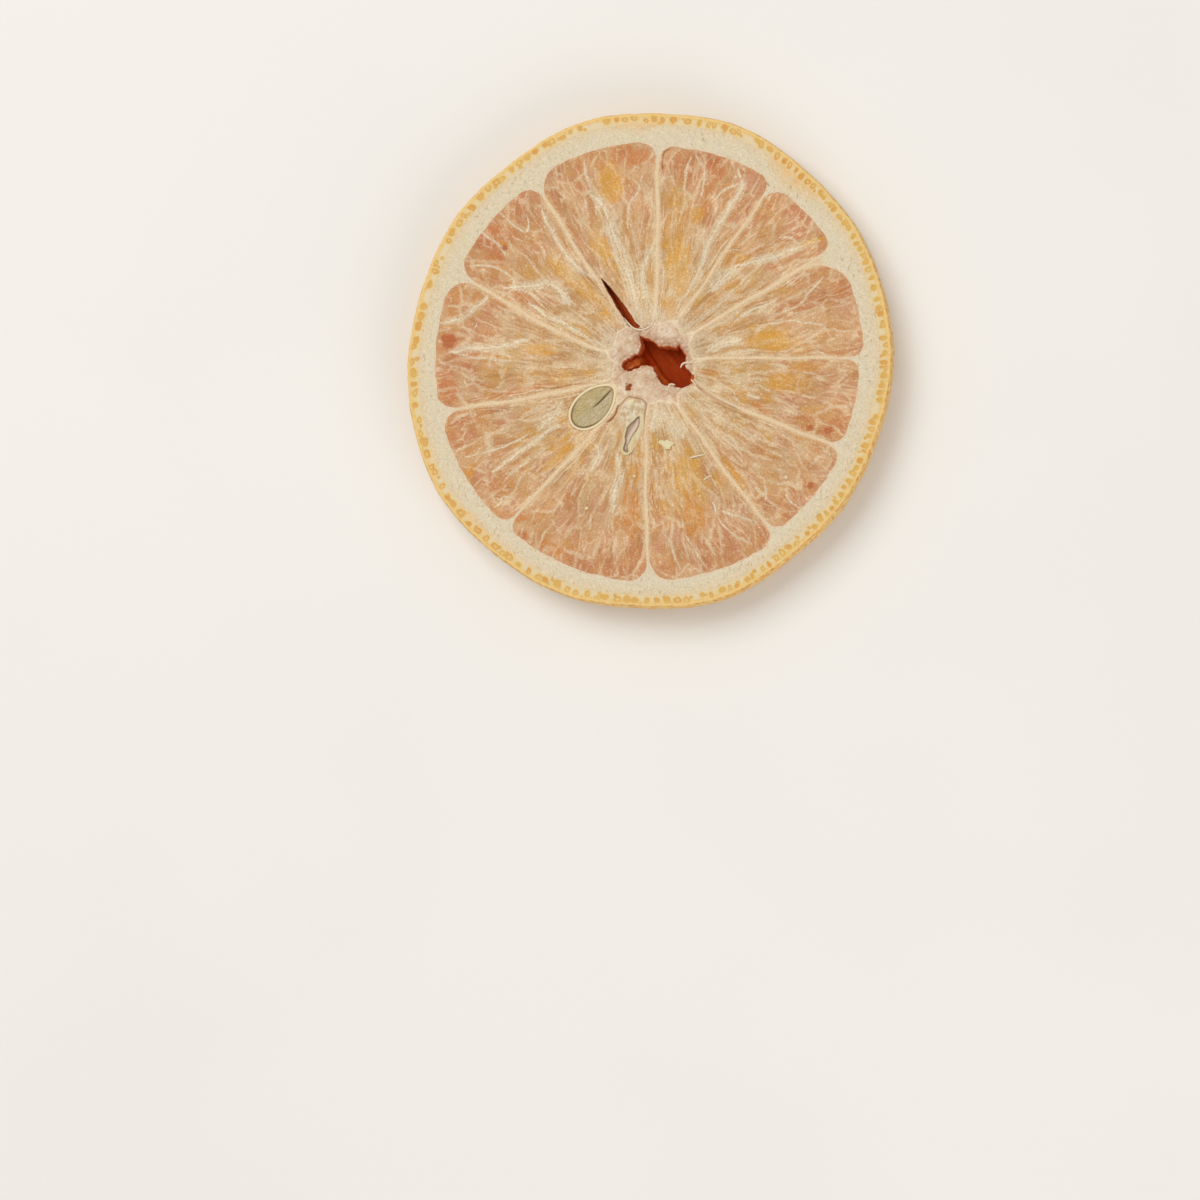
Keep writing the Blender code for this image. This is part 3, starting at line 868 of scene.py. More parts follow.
def cut_plan(x, y, field):
    """Points and quads of the lattice inside a field, with the border moved on to the field's edge.

    Gives the points, the quads, the border's directed edges and each point's way out."""
    spacing = x[0, 1] - x[0, 0]
    middle = 0.25 * (field[:-1, :-1] + field[1:, :-1] + field[:-1, 1:] + field[1:, 1:])
    kept = largest_part(close_pinches(middle > 0))
    index = np.arange(x.size).reshape(x.shape)
    quads = np.stack([index[:-1, :-1], index[:-1, 1:], index[1:, 1:], index[1:, :-1]], -1)[kept]
    used, quads = np.unique(quads, return_inverse=True)
    quads = quads.reshape(-1, 4)
    starts, ends = quads.ravel(), np.roll(quads, -1, 1).ravel()
    count = len(used)
    alone = ~np.isin(starts * count + ends, ends * count + starts)
    border = np.stack([starts[alone], ends[alone]], -1)
    rise_y, rise_x = np.gradient(field, spacing)
    at = np.stack([x.ravel()[used], y.ravel()[used]], -1)
    rise = np.stack([rise_x.ravel()[used], rise_y.ravel()[used]], -1)
    steep = np.maximum(np.hypot(rise[:, 0], rise[:, 1]), 0.3)[:, None]
    rise = rise / steep
    edge = np.unique(border)
    off = np.clip(-field.ravel()[used][edge, None] / steep[edge], -0.6 * spacing, 0.6 * spacing)
    at[edge] += off * rise[edge]
    return at, quads, border, -rise


def wall_columns(at, out, top, bottom, lean, salt):
    """Points down a wall that shows, from the upper face to the lower."""
    share = np.linspace(0, 1, WALL_ROWS + 1)[1:-1][None, :]
    z = top[:, None] + (bottom - top)[:, None] * share
    bow = np.sin(np.pi * share)
    x0, y0 = at[:, 0][:, None], at[:, 1][:, None]
    round_wall = np.arctan2(y0, x0) * 4.0 + 0 * share
    lumps = 0.22 * rough(round_wall / 0.9, z / 0.9, salt, 3) + 0.10 * noise(z / 1.7, round_wall / 3, salt + 5)
    push = bow ** 0.5 * lumps + lean * bow
    return np.stack([x0 + out[:, 0][:, None] * push, y0 + out[:, 1][:, None] * push, z], -1)


def sheet_solid(plan, face, seen=None, lean=0.0, salt=700):
    """A closed solid between two faces cut from one plan.

    face(x, y, side) gives a height over the face's plane and the values that show there.
    seen marks the border points of walls that show: these bulge by lean and are lumpy."""
    at, quads, border, out = plan
    count = len(at)
    top_rise, top_shown = face(at[:, 0], at[:, 1], TOP)
    low_rise, low_shown = face(at[:, 0], at[:, 1], BASE)
    top_z = np.minimum(THICKNESS + top_rise, THICKNESS)
    low_z = np.maximum(-low_rise, 0)
    top_z = np.maximum(top_z, low_z + 0.1)
    points = [np.column_stack([at, top_z]), np.column_stack([at, low_z])]
    edge = np.unique(border)
    seen_edge = edge[seen[edge]] if seen is not None else edge[:0]
    column_of = {}
    near_top = np.zeros((0, WALL_ROWS - 1), bool)
    if len(seen_edge):
        columns = wall_columns(at[seen_edge], out[seen_edge], top_z[seen_edge], low_z[seen_edge],
                               lean, salt)
        points.append(columns.reshape(-1, 3))
        for k, vertex in enumerate(seen_edge.tolist()):
            first = 2 * count + k * (WALL_ROWS - 1)
            column_of[vertex] = list(range(first, first + WALL_ROWS - 1))
        near_top = columns[:, :, 2] > THICKNESS / 2
    faces = quads.tolist() + (quads[:, ::-1] + count).tolist()
    for a, b in border.tolist():
        left = [a] + column_of.get(a, []) + [a + count]
        right = [b] + column_of.get(b, []) + [b + count]
        if len(left) == len(right):
            faces += [[left[k], left[k + 1], right[k + 1], right[k]] for k in range(len(left) - 1)]
        else:
            faces.append(left + right[::-1])
    shown = {}
    for label, values in top_shown.items():
        both = [values, low_shown[label]]
        if len(seen_edge):
            pick = near_top if values.ndim == 1 else near_top[:, :, None]
            upper = values[seen_edge][:, None] + 0 * pick
            lower = low_shown[label][seen_edge][:, None] + 0 * pick
            both.append(np.where(pick, upper, lower).reshape((-1,) + values.shape[1:]))
        shown[label] = np.concatenate(both)
    z = np.concatenate([p[:, 2] for p in points])
    in_column = np.zeros(len(z))
    in_column[2 * count:] = 1
    in_column[seen_edge] = 1
    in_column[seen_edge + count] = 1
    # deep: painted shade down the walls of the hole and the slit, fullest away from both faces
    shown["deep"] = in_column * np.minimum(step(0.15, 1.0, THICKNESS - z), step(0.15, 1.0, z))
    return np.concatenate(points), faces, shown


def lattice(points, margin=1.0, spacing=SPACING):
    """Crossings of a square lattice over some points and a margin round them."""
    low, high = np.min(points, axis=0) - margin, np.max(points, axis=0) + margin
    return np.meshgrid(*(np.arange(math.floor(a / spacing), math.ceil(b / spacing) + 1) * spacing
                         for a, b in zip(low, high)))


def open_walls(plan):
    """Which points of a plan stand at the edge of the hole or the slit."""
    return opening(plan[0][:, 0], plan[0][:, 1]) > -OPEN_WALL


def make_pulp(number, material):
    """One pocket's pulp: it runs a little under the membranes round it."""
    middle, width = pocket_middle(number)
    turns = [middle + k * POCKET_SPREAD * width for k in (-1, -0.5, 0, 0.5, 1)]
    corners = [(r * math.cos(turn), r * math.sin(turn)) for r in POCKET_RADII for turn in turns]
    x, y = lattice(corners, 0.0)
    _, inside, half = pocket_shape(number, x, y)
    plan = cut_plan(x, y, np.minimum(inside + PULP_OVERLAP * half, -opening(x, y)))

    def face(a, b, side):
        return pulp_face(number, a, b, side)

    solid = sheet_solid(plan, face, open_walls(plan), 0.0, 700 + number)
    return new_piece(f"pulp_{number + 1:02d}", solid, material)


def make_pith(material):
    """The white ring, the membranes and the core, which are one piece."""
    reach = RIM_RADIUS + 1.0
    x, y = lattice([(-reach, -reach), (reach, reach)], 0.0)
    field = np.minimum(rim(np.arctan2(y, x)) - SKIN_WIDTH - np.hypot(x, y), -deepest(x, y))
    plan = cut_plan(x, y, np.minimum(field, -opening(x, y)))
    return new_piece("pith_and_core", sheet_solid(plan, pith_face, open_walls(plan), 0.12, 720), material)


# The sheet that closes the hole and the slit below, in painted shade: its levels, and how far it reaches
# into the walls. It climbs the hole's side along each of these lines: points, reach, rise.
FOOT_LEVEL = 1.8
SLIT_LEVEL = 2.6
FOOT_UNDER = 0.35
FOOT_OVERLAP = 0.35
CLIMBS = (
    (((-3.5, -0.5), (-2.7, -0.3), (-1.9, 0)), 1.5, 2.5),
    (((0.2, -0.7), (0.9, -1.8), (2, -2.9)), 0.75, 1.6),
    (((5.2, -1.5), (5, -2.4)), 0.8, 2.6),
)
HIGHEST_CLIMB = 2.6
CREASE = ((-1.4, 2.9), (0.3, 0), (2.1, -2.9))    # a fold that runs across the hole's foot


def foot_face(x, y, side, level):
    """Height of the sheet at the hole's foot over a face's plane, and what shows on it."""
    lean = math.atan2(CREASE[2][1] - CREASE[0][1], CREASE[2][0] - CREASE[0][0])
    along, across = turned(x, y, lean)
    _, middle = turned(*CREASE[1], lean)
    streak = rough(across * 2.2, along * 0.35, 451, 4)
    climb = np.zeros(x.shape)
    for points, reach, rise in CLIMBS:
        gap, _ = near_segments(x, y, smooth_path(points, 12))
        climb = np.maximum(climb, rise * fall(0.25 * reach, reach, gap))
    bumps = rough(x / 0.5, y / 0.5, 452, 3)
    fold = np.tanh((across - middle + 0.1 * noise(along / 1.5, 0 * along, 453)) / 0.12)
    shown = {"climb": unit(climb / HIGHEST_CLIMB), "streak": 0.5 + 0.5 * streak,
             "raised": np.full(x.shape, 1.0 if level == SLIT_LEVEL else 0.0),
             "fold": 0.5 + 0.5 * fold, "bumps": 0.5 + 0.5 * bumps}
    if side == BASE:
        return -(FOOT_UNDER + 0.10 * streak + 0.08 * bumps), shown
    z = level + climb + 0.16 * streak + 0.22 * fold + 0.12 * bumps * np.minimum(climb, 1)
    return z - THICKNESS, shown


def joined(solids):
    """One set of points, faces and values from several."""
    faces, count = [], 0
    for points, their_faces, _ in solids:
        faces += [[count + corner for corner in face] for face in their_faces]
        count += len(points)
    shown = {label: np.concatenate([solid[2][label] for solid in solids]) for label in solids[0][2]}
    return np.concatenate([solid[0] for solid in solids]), faces, shown


def make_foot(material):
    """The thin sheet at the foot of the hole and the slit, in painted shade."""
    solids = []
    for line, level in ((HOLE_LINE, FOOT_LEVEL), (SLIT_LINE, SLIT_LEVEL)):
        x, y = lattice(line)
        plan = cut_plan(x, y, inside_outline(x, y, line) + FOOT_OVERLAP)
        solids.append(sheet_solid(plan, lambda a, b, side: foot_face(a, b, side, level)))
    return new_piece("core_foot", joined(solids), material)


SKIN_COLUMNS = 1440
BAND_ROWS = 10
ROUND_ROWS = 4
SIDE_ROWS = 30
LIP, LIP_DEPTH = 0.3, 0.7        # how far the skin reaches under the pith, and how deep there
BAND_OVERLAP = 0.06


def skin_section():
    """The skin's closed section: inset from the rim, height, outward direction, and 1 on its side."""
    rows = [(SKIN_WIDTH + LIP, THICKNESS - LIP_DEPTH, -1.0, 0.0, 0.0)]
    band = SKIN_WIDTH + BAND_OVERLAP
    for k in range(BAND_ROWS + 1):
        rows.append((band - (band - EDGE_ROUND) * k / BAND_ROWS, THICKNESS, 0.0, 1.0, 0.0))
    for k in range(1, ROUND_ROWS + 1):
        turn = 0.5 * math.pi * k / ROUND_ROWS
        rows.append((EDGE_ROUND * (1 - math.sin(turn)), THICKNESS - EDGE_ROUND * (1 - math.cos(turn)),
                     math.sin(turn), math.cos(turn), k / ROUND_ROWS))
    half_side = THICKNESS / 2 - EDGE_ROUND
    for k in range(1, SIDE_ROWS // 2):
        rows.append((0.0, THICKNESS - EDGE_ROUND - half_side * 2 * k / SIDE_ROWS, 1.0, 0.0, 1.0))
    lower = [(inset, THICKNESS - z, out, -up, side) for inset, z, out, up, side in reversed(rows)]
    return np.array(rows + [(0.0, THICKNESS / 2, 1.0, 0.0, 1.0)] + lower)


def make_skin(material):
    """The outer skin: a closed ring with its oil glands."""
    section = skin_section()
    inset, z, out, up, on_side = (section[:, k][:, None] for k in range(5))
    theta = (np.arange(SKIN_COLUMNS) * 2 * np.pi / SKIN_COLUMNS - np.pi)[None, :]
    inset, z, out, up, on_side, theta = np.broadcast_arrays(inset, z, out, up, on_side, theta)
    arc = theta * RIM_RADIUS
    lower = z < THICKNESS / 2
    on_face = fall(0.0, 0.5, on_side)
    both = zip(glands(theta, inset, TOP), glands(theta, inset, BASE))
    gland, halo, heart, tone = (np.where(lower, b, a) * on_face for a, b in both)
    dent, dent_tone = side_dimples(arc, z)
    dent = dent * step(0.3, 1.0, on_side)
    x, y = np.cos(theta) * RIM_RADIUS, np.sin(theta) * RIM_RADIUS
    bumpy = rough(x / 1.1 + 3.1 * z, y / 1.1 + 2.3 * z, 650, 3)
    in_band = step(0.05, 0.3, SKIN_WIDTH - inset) * on_face
    push = (-0.08 * gland + 0.04 * halo * in_band + 0.04 * heart - 0.07 * dent
            + 0.045 * bumpy * np.maximum(in_band, on_side)
            + 0.08 * on_side * rough(x / 4 + z / 3, y / 4 - z / 3, 655, 2)
            - 0.05 * step(-0.02, 0.06, inset - SKIN_WIDTH))
    level = 2 * z / THICKNESS - 1
    bulge = SIDE_BULGE * (1 - level ** 2)
    radius = rim(theta) - inset + bulge + out * push
    height = np.clip(z + up * push, 0, THICKNESS)
    points = np.stack([radius * np.cos(theta), radius * np.sin(theta), height], -1)
    rows = len(section)
    index = np.arange(rows * SKIN_COLUMNS).reshape(rows, SKIN_COLUMNS)
    below, beside = np.roll(index, -1, 0), np.roll(index, -1, 1)
    faces = np.stack([index, below, np.roll(below, -1, 1), beside], -1).reshape(-1, 4)
    from_skin = np.maximum(inset - SKIN_WIDTH, 0)
    shown = {
        "gland": gland, "halo": halo, "heart": heart, "tone": tone, "dent": dent,
        "dent_tone": dent_tone, "side": on_side + 0.0, "inset": inset / SKIN_WIDTH,
        "warm": warm_rim(theta, from_skin, rim(theta) * np.cos(theta), rim(theta) * np.sin(theta)),
        # a pale line on the rounded edge: partly the skin's outer layer, partly painted highlight
        "skin_line": fall(0.06, 0.30, np.abs(inset - 0.10)),
    }
    shown = {label: values.reshape(-1) for label, values in shown.items()}
    return new_piece("skin", (points.reshape(-1, 3), faces.tolist(), shown), material)


# ---------------------------------------------------------------- seeds, crumbs and fibres

# Small crumbs: place and radius.
CRUMBS = (((-7.6, -17.4), 0.24), ((-1.9, -13.6), 0.20), ((16.1, -13.9), 0.26), ((5.9, -16), 0.13),
          ((-20.9, 4.5), 0.13), ((3.3, -15.4), 0.12))
# Fibres that lie on top: points, radius, lift at the middle.
FIBRES = (
    (((4.7, -11.5), (5.6, -11.3), (6.5, -11.1)), 0.10, 0.07),
    (((6.3, -14.2), (6.8, -13.8), (7.4, -13.6)), 0.09, 0.06),
    (((7.4, -16.7), (7.7, -17.3), (7.8, -18)), 0.13, 0.03),
    (((5, -0.25), (4.4, -0.2), (3.85, -0.4), (3.6, -0.85)), 0.11, 0.03),
    (((2.15, -3.4), (2.2, -2.95), (2.5, -2.75), (3, -2.85)), 0.09, 0.05),
    (((5.45, -2.9), (5.1, -2.5), (4.85, -2.2)), 0.09, 0.04),
    (((5.3, -2.2), (6.2, -3.05), (7.2, -3.8), (9, -4.85), (10.9, -5.75)), 0.08, 0.02),
    (((-21.2, 4.1), (-21, 4.5), (-20.9, 4.9)), 0.06, 0.04),
    (((-3.1, 5.15), (-2.3, 4.2), (-1.5, 3.75), (-0.5, 3.85), (0.3, 4.5), (0.7, 5.9)), 0.09, 0.02),
    (((9.3, 12.9), (10.1, 13), (10.9, 12.8)), 0.04, 0.03),
)
TUBE_SIDES, TUBE_STEPS = 8, 5
FLAKE_FOOT = 0.6                 # how deep the flake reaches below the face


def seed_solid(plan, face):
    """A seed's piece: face(x, y) above, and a plain flat foot that the pulp hides."""
    def both(x, y, side):
        rise, shown = face(x, y)
        if side == TOP:
            return rise, shown
        return SEED_FOOT - THICKNESS + 0 * x, {label: 0 * values for label, values in shown.items()}

    return sheet_solid(plan, both)


def past_kernel(x, y):
    """1 on the side of the kernel's middle that looks away from the core, and 0 on the other."""
    return step(-0.6, 2.6, -(x - KERNEL_MIDDLE[0]) - (y - KERNEL_MIDDLE[1]))


def make_kernel(material):
    """The cut kernel: almost flat, with the slit between its two halves."""
    outline = kernel_outline(0.0)
    x, y = lattice(outline, 1.0, FINE)
    plan = cut_plan(x, y, inside_outline(x, y, outline))
    slit = smooth_path(COTYLEDON_LINE, 18)

    def face(a, b):
        depth = inside_outline(a, b, outline)
        gap, along = near_segments(a, b, slit)
        wide = 0.03 + 0.075 * step(0.30, 0.60, along) * (1 - 0.8 * step(0.80, 1.0, along))
        groove = fall(0.5 * wide, 1.7 * wide, gap)
        low = past_kernel(a, b)
        rise = (-0.08 - (0.03 + 0.10 * low) * fall(0.0, 0.25, depth) + 0.04 * step(0, 1.6, depth)
                - 0.12 * groove * (0.1 + 0.9 * along) + 0.02 * rough(a / 0.5, b / 0.5, 801, 3))
        _, across = turned(a - KERNEL_MIDDLE[0], b - KERNEL_MIDDLE[1], KERNEL_TURN)
        flow = np.stack([*turned(a, b, KERNEL_TURN), 0 * a], -1)
        # rimward: the dark joint to the coat with painted shade, heaviest on the side away from the core
        shown = {"rimward": fall(0.0, 0.16 + 0.08 * low, depth) * (0.45 + 0.55 * low),
                 "slit": groove * (0.15 + 0.85 * step(0.3, 0.6, along)),
                 "notch": fall(0.12, 0.34, np.hypot(a - slit[-1, 0], b - slit[-1, 1])),
                 "half": step(-0.4, 0.4, -across), "flow": flow}
        return rise, shown

    return new_piece("seed_kernel", seed_solid(plan, face), material)


def make_coat(material):
    """The cut seed's coat: a thin pale ring round the kernel, widest at the kernel's point."""
    outer, inner = kernel_outline(COAT_GAP + COAT_WIDTH), kernel_outline(COAT_GAP)
    x, y = lattice(outer, 1.0, FINE)
    plan = cut_plan(x, y, np.minimum(inside_outline(x, y, outer), -inside_outline(x, y, inner)))

    def face(a, b):
        into = -inside_outline(a, b, inner)
        across = unit(into / COAT_WIDTH)
        rise = -0.14 * (2 * across - 1) ** 2 + 0.02 * noise(a / 0.4, b / 0.4, 803)
        # the outline next to the kernel: dark joint with painted shade, heaviest on the side away from the
        # core
        shown = {"rimward": step(0.65, 1.0, across),
                 "outline": fall(0.0, 0.30, across) * (0.35 + 0.65 * past_kernel(a, b))}
        return rise, shown

    return new_piece("seed_coat", seed_solid(plan, face), material)


def make_husk(material):
    """The shrivelled seed: a pale husk round a narrow cavity, with a chip of coat on its top."""
    outline = smooth_path(HUSK, 126, closed=True)
    cavity = smooth_path(CAVITY, 78, closed=True)
    floor = smooth_path(CAVITY_FLOOR, 24)
    chip = np.array(CHIP)
    x, y = lattice(outline, 1.0, FINE)
    plan = cut_plan(x, y, inside_outline(x, y, outline) + 0.05 * noise(x / 0.5, y / 0.5, 805))

    def face(a, b):
        depth = inside_outline(a, b, outline)
        hollow = inside_outline(a, b, cavity) + 0.04 * noise(a / 0.4, b / 0.4, 807)
        on_chip = step(-0.02, 0.10, inside_outline(a, b, chip) + 0.08 * noise(a / 0.3, b / 0.3, 808))
        # the top and the right side stand clear; the lower left runs into the pulp
        clear = step(-8.0, -6.8, b) * step(-4.1, -3.3, a + 0.2 * (b + 5.0))
        right = step(-0.3, 0.3, a + 1.35 - 0.42 * (b + 6.6))
        lip = fall(0.5, 1.0, -hollow / (0.30 + 0.40 * right))
        merge = (1 - clear) * fall(0.0, 0.8, depth + 0.3 * noise(a / 0.4, b / 0.4, 809))
        stain = np.zeros(a.shape)
        for (at_x, at_y), radius in HUSK_STAINS:
            stain = np.maximum(stain, fall(0.4, 1.1, np.hypot(a - at_x, b - at_y) / radius))
        fibrous = rough(a / 0.4 + b * 0.2, b / 0.9, 806, 4)
        rise = (-0.12 - 0.10 * step(-6.5, -9.0, b) - 0.18 * clear * fall(0.0, 0.35, depth)
                + 0.06 * lip + 0.08 * on_chip - 0.34 * step(-0.02, 0.16, hollow) + 0.07 * fibrous)
        gap, _ = near_segments(a, b, floor)
        shown = {"rimward": fall(0.1, 0.7, depth) * clear, "cavity": step(-0.03, 0.06, hollow),
                 "arch": fall(0.03, 0.13, np.abs(depth - 0.16)) * clear,
                 "brim": fall(0.03, 0.08, depth) * clear,
                 "lip": lip, "chip": on_chip, "stain": stain, "merge": merge,
                 "floor": fall(0.10, 0.26, gap) * step(0.03, 0.10, hollow),
                 "outline": fall(0.02, 0.10, np.abs(hollow - 0.02))}
        return rise, shown

    return new_piece("seed_husk", seed_solid(plan, face), material)


def tube(points, radius, base_z, lift):
    """A round fibre along a path, tapered and closed at both ends."""
    count = TUBE_STEPS * (len(points) - 1)
    path = smooth_path(points, count)
    share = np.linspace(0, 1, count + 1)
    z = base_z + lift * np.sin(np.pi * share)
    middle = np.column_stack([path, z])
    ahead = np.gradient(middle, axis=0)
    ahead /= np.linalg.norm(ahead, axis=1)[:, None]
    beside = np.cross(ahead, (0, 0, 1.0))
    beside /= np.linalg.norm(beside, axis=1)[:, None]
    above = np.cross(beside, ahead)
    size = radius * np.clip(2.2 * np.sin(np.pi * (0.04 + 0.92 * share)), 0.15, 1)
    size = size * (1 + 0.25 * noise(path[:, 0] / 0.5, path[:, 1] / 0.5, 811))
    around = np.arange(TUBE_SIDES) * 2 * np.pi / TUBE_SIDES
    ring = (middle[:, None] + size[:, None, None] * (
        np.cos(around)[None, :, None] * beside[:, None] + np.sin(around)[None, :, None] * above[:, None]))
    faces = []
    for k in range(count):
        for j in range(TUBE_SIDES):
            a, b = k * TUBE_SIDES + j, k * TUBE_SIDES + (j + 1) % TUBE_SIDES
            faces.append([a, b, b + TUBE_SIDES, a + TUBE_SIDES])
    faces.append(list(range(TUBE_SIDES))[::-1])
    faces.append(list(range(count * TUBE_SIDES, (count + 1) * TUBE_SIDES)))
    return ring.reshape(-1, 3), faces, {}


def surface_z(x, y):
    """Height of the upper face at one place."""
    x, y = np.array([float(x)]), np.array([float(y)])
    best = int(np.argmax([pocket_shape(n, x, y)[1][0] for n in range(COUNT)]))
    if pocket_shape(best, x, y)[1][0] > 0:
        return THICKNESS + float(pulp_face(best, x, y, TOP)[0][0])
    return THICKNESS + float(pith_face(x, y, TOP)[0][0])


def make_fibres(material):
    """Loose fibres and curls that lie on the upper face."""
    tubes = []
    for path, radius, lift in FIBRES:
        level = max(surface_z(*path[k]) for k in (0, len(path) // 2, -1))
        tubes.append(tube(path, radius, level, lift))
    return new_piece("loose_fibres", joined(tubes), material)


def crumb(number, at_x, at_y, radius):
    """A small uneven ball that lies on the upper face."""
    ball = bpy.data.meshes.new("crumb")
    shape = bmesh.new()
    bmesh.ops.create_icosphere(shape, subdivisions=3, radius=radius)
    shape.to_mesh(ball)
    shape.free()
    at = np.array([vertex.co for vertex in ball.vertices], float)
    faces = [list(face.vertices) for face in ball.polygons]
    bpy.data.meshes.remove(ball)
    wave = 1.2 * radius
    scale = 1 + 0.3 * noise(at[:, 0] / wave + 5.3 * number, at[:, 1] / wave + at[:, 2] / radius, 823)
    at = at * scale[:, None] * np.array((1.0, 0.85, 0.7))
    return at + np.array((at_x, at_y, surface_z(at_x, at_y) + 0.35 * radius)), faces, {}


def make_crumbs(material):
    """Crumbs of dry pith and oil on the upper face, and one larger flake."""
    outline = np.array(FLAKE)
    x, y = lattice(outline, 1.0, FINE)
    plan = cut_plan(x, y, inside_outline(x, y, outline) + 0.08 * noise(x / 0.35, y / 0.35, 821))

    def face(a, b, side):
        if side == BASE:
            return FLAKE_FOOT - THICKNESS + 0 * a, {}
        lump, _, _ = cells(a / 0.55, b / 0.55, 822)
        depth = inside_outline(a, b, outline)
        return -0.12 + 0.12 * step(0.0, 0.3, depth) + 0.16 * step(0.0, 0.4, lump), {}

    points, faces, _ = sheet_solid(plan, face)
    balls = [crumb(number, *place, radius) for number, (place, radius) in enumerate(CRUMBS)]
    return new_piece("crumbs", joined([(points, faces, {})] + balls), material)


# ---------------------------------------------------------------- materials

def swatch(red, green, blue):
    """Linear colour from a swatch's values of 0 to 255."""
    def straight(value):
        value = value / 255
        return value / 12.92 if value <= 0.04045 else ((value + 0.055) / 1.055) ** 2.4
    return (straight(red), straight(green), straight(blue), 1.0)


class Look:
    """A material whose colour is laid on in layers, each as far as the product of its values.

    A value is a number, a socket, the name of a noise or of what the mesh shows, or a rise:
    (value, low, high) goes from 0 at low to 1 at high, and a fourth number is the rise's top."""

    def __init__(self, name, base, roughness, shine=0.35):
        self.material = bpy.data.materials.new(name)
        self.material.use_nodes = True
        self.tree = self.material.node_tree
        self.shader = self.tree.nodes["Principled BSDF"]
        self.shader.inputs["Roughness"].default_value = roughness
        self.shader.inputs["Specular IOR Level"].default_value = shine
        self.colour = swatch(*base)
        self.relief = None
        self.known = {}

    def put(self, value, socket):
        """Links a socket, or sets a plain number or colour."""
        if isinstance(value, bpy.types.NodeSocket):
            self.tree.links.new(value, socket)
        else:
            socket.default_value = value

    def node(self, kind, output, inputs, **settings):
        """Adds a node with its inputs and settings, and gives one of its outputs."""
        node = self.tree.nodes.new("ShaderNode" + kind)
        for setting, value in settings.items():
            setattr(node, setting, value)
        for key, value in inputs.items():
            self.put(value, node.inputs[key])
        return node.outputs[output]

    def read(self, value):
        """The socket of a name or a rise; a number or a socket stays as it is."""
        if isinstance(value, tuple):
            return self.ease(*value)
        if not isinstance(value, str):
            return value
        if value not in self.known:
            self.known[value] = self.node("Attribute", "Fac", {}, attribute_name=value)
        return self.known[value]

    def noise(self, name, waves, detail, roughness, label=None):
        """Names a noise with so many waves to a millimetre of the place, or of a labelled vector."""
        waves = np.array(waves) * np.ones(3)
        if label:
            where = self.node("Attribute", "Vector", {}, attribute_name=label)
        else:
            where = self.node("TexCoord", "Object", {})
            waves = waves / MM
        where = self.node("VectorMath", "Vector", {0: where, 1: waves.tolist()}, operation="MULTIPLY")
        inputs = {"Vector": where, "Scale": 1.0, "Detail": detail, "Roughness": roughness}
        self.known[name] = self.node("TexNoise", 0, inputs)

    def maths(self, operation, first, second=0.0):
        return self.node("Math", 0, {0: self.read(first), 1: self.read(second)}, operation=operation)

    def product(self, first, *others):
        total = self.read(first)
        for other in others:
            total = self.maths("MULTIPLY", total, other)
        return total

    def sum(self, *terms):
        """Adds some values; a pair is a value and its weight."""
        pairs = [isinstance(term, tuple) and len(term) == 2 for term in terms]
        parts = [self.product(*term) if pair else self.read(term) for term, pair in zip(terms, pairs)]
        total = parts[0]
        for part in parts[1:]:
            total = self.maths("ADD", total, part)
        return total

    def ease(self, value, low, high, top=1.0):
        """Smooth rise from 0 at low to top at high; it falls when low is above high."""
        ends = (top, 0.0) if low > high else (0.0, top)
        inputs = {"Value": self.read(value), "From Min": min(low, high), "From Max": max(low, high),
                  "To Min": ends[0], "To Max": ends[1]}
        return self.node("MapRange", "Result", inputs, interpolation_type="SMOOTHSTEP")

    def vein(self, waves, half):
        """1 on thin lines that wander along the flow, and 0 from half away in the noise's value."""
        self.noise("vein", waves, 3.0, 0.4, "flow")
        return self.ease(self.maths("ABSOLUTE", self.maths("SUBTRACT", "vein", 0.5)), half, 0.0)

    def layers(self, *rows):
        """Lays colours over what is there, in turn; a row is a swatch and its values."""
        for colour, *values in rows:
            inputs = {0: self.product(*values), 6: self.colour, 7: swatch(*colour)}
            self.colour = self.node("Mix", 2, inputs, data_type="RGBA")

    def shade(self, value, spread, swing):
        """Darkens and lightens by up to swing where value is spread away from its middle, 0.5."""
        inputs = {"Value": self.read(value), "From Min": 0.5 - spread, "From Max": 0.5 + spread,
                  "To Min": 1 - swing, "To Max": 1 + swing}
        inputs = {0: 1.0, 6: self.colour, 7: self.node("MapRange", "Result", inputs)}
        self.colour = self.node("Mix", 2, inputs, data_type="RGBA", blend_type="MULTIPLY")

    def bump(self, height, millimetres):
        """Adds fine relief of that height."""
        inputs = {"Strength": 1.0, "Distance": millimetres * MM, "Height": self.read(height)}
        if self.relief:
            inputs["Normal"] = self.relief
        self.relief = self.node("Bump", "Normal", inputs)

    def done(self):
        self.put(self.colour, self.shader.inputs["Base Color"])
        if self.relief:
            self.put(self.relief, self.shader.inputs["Normal"])
        return self.material


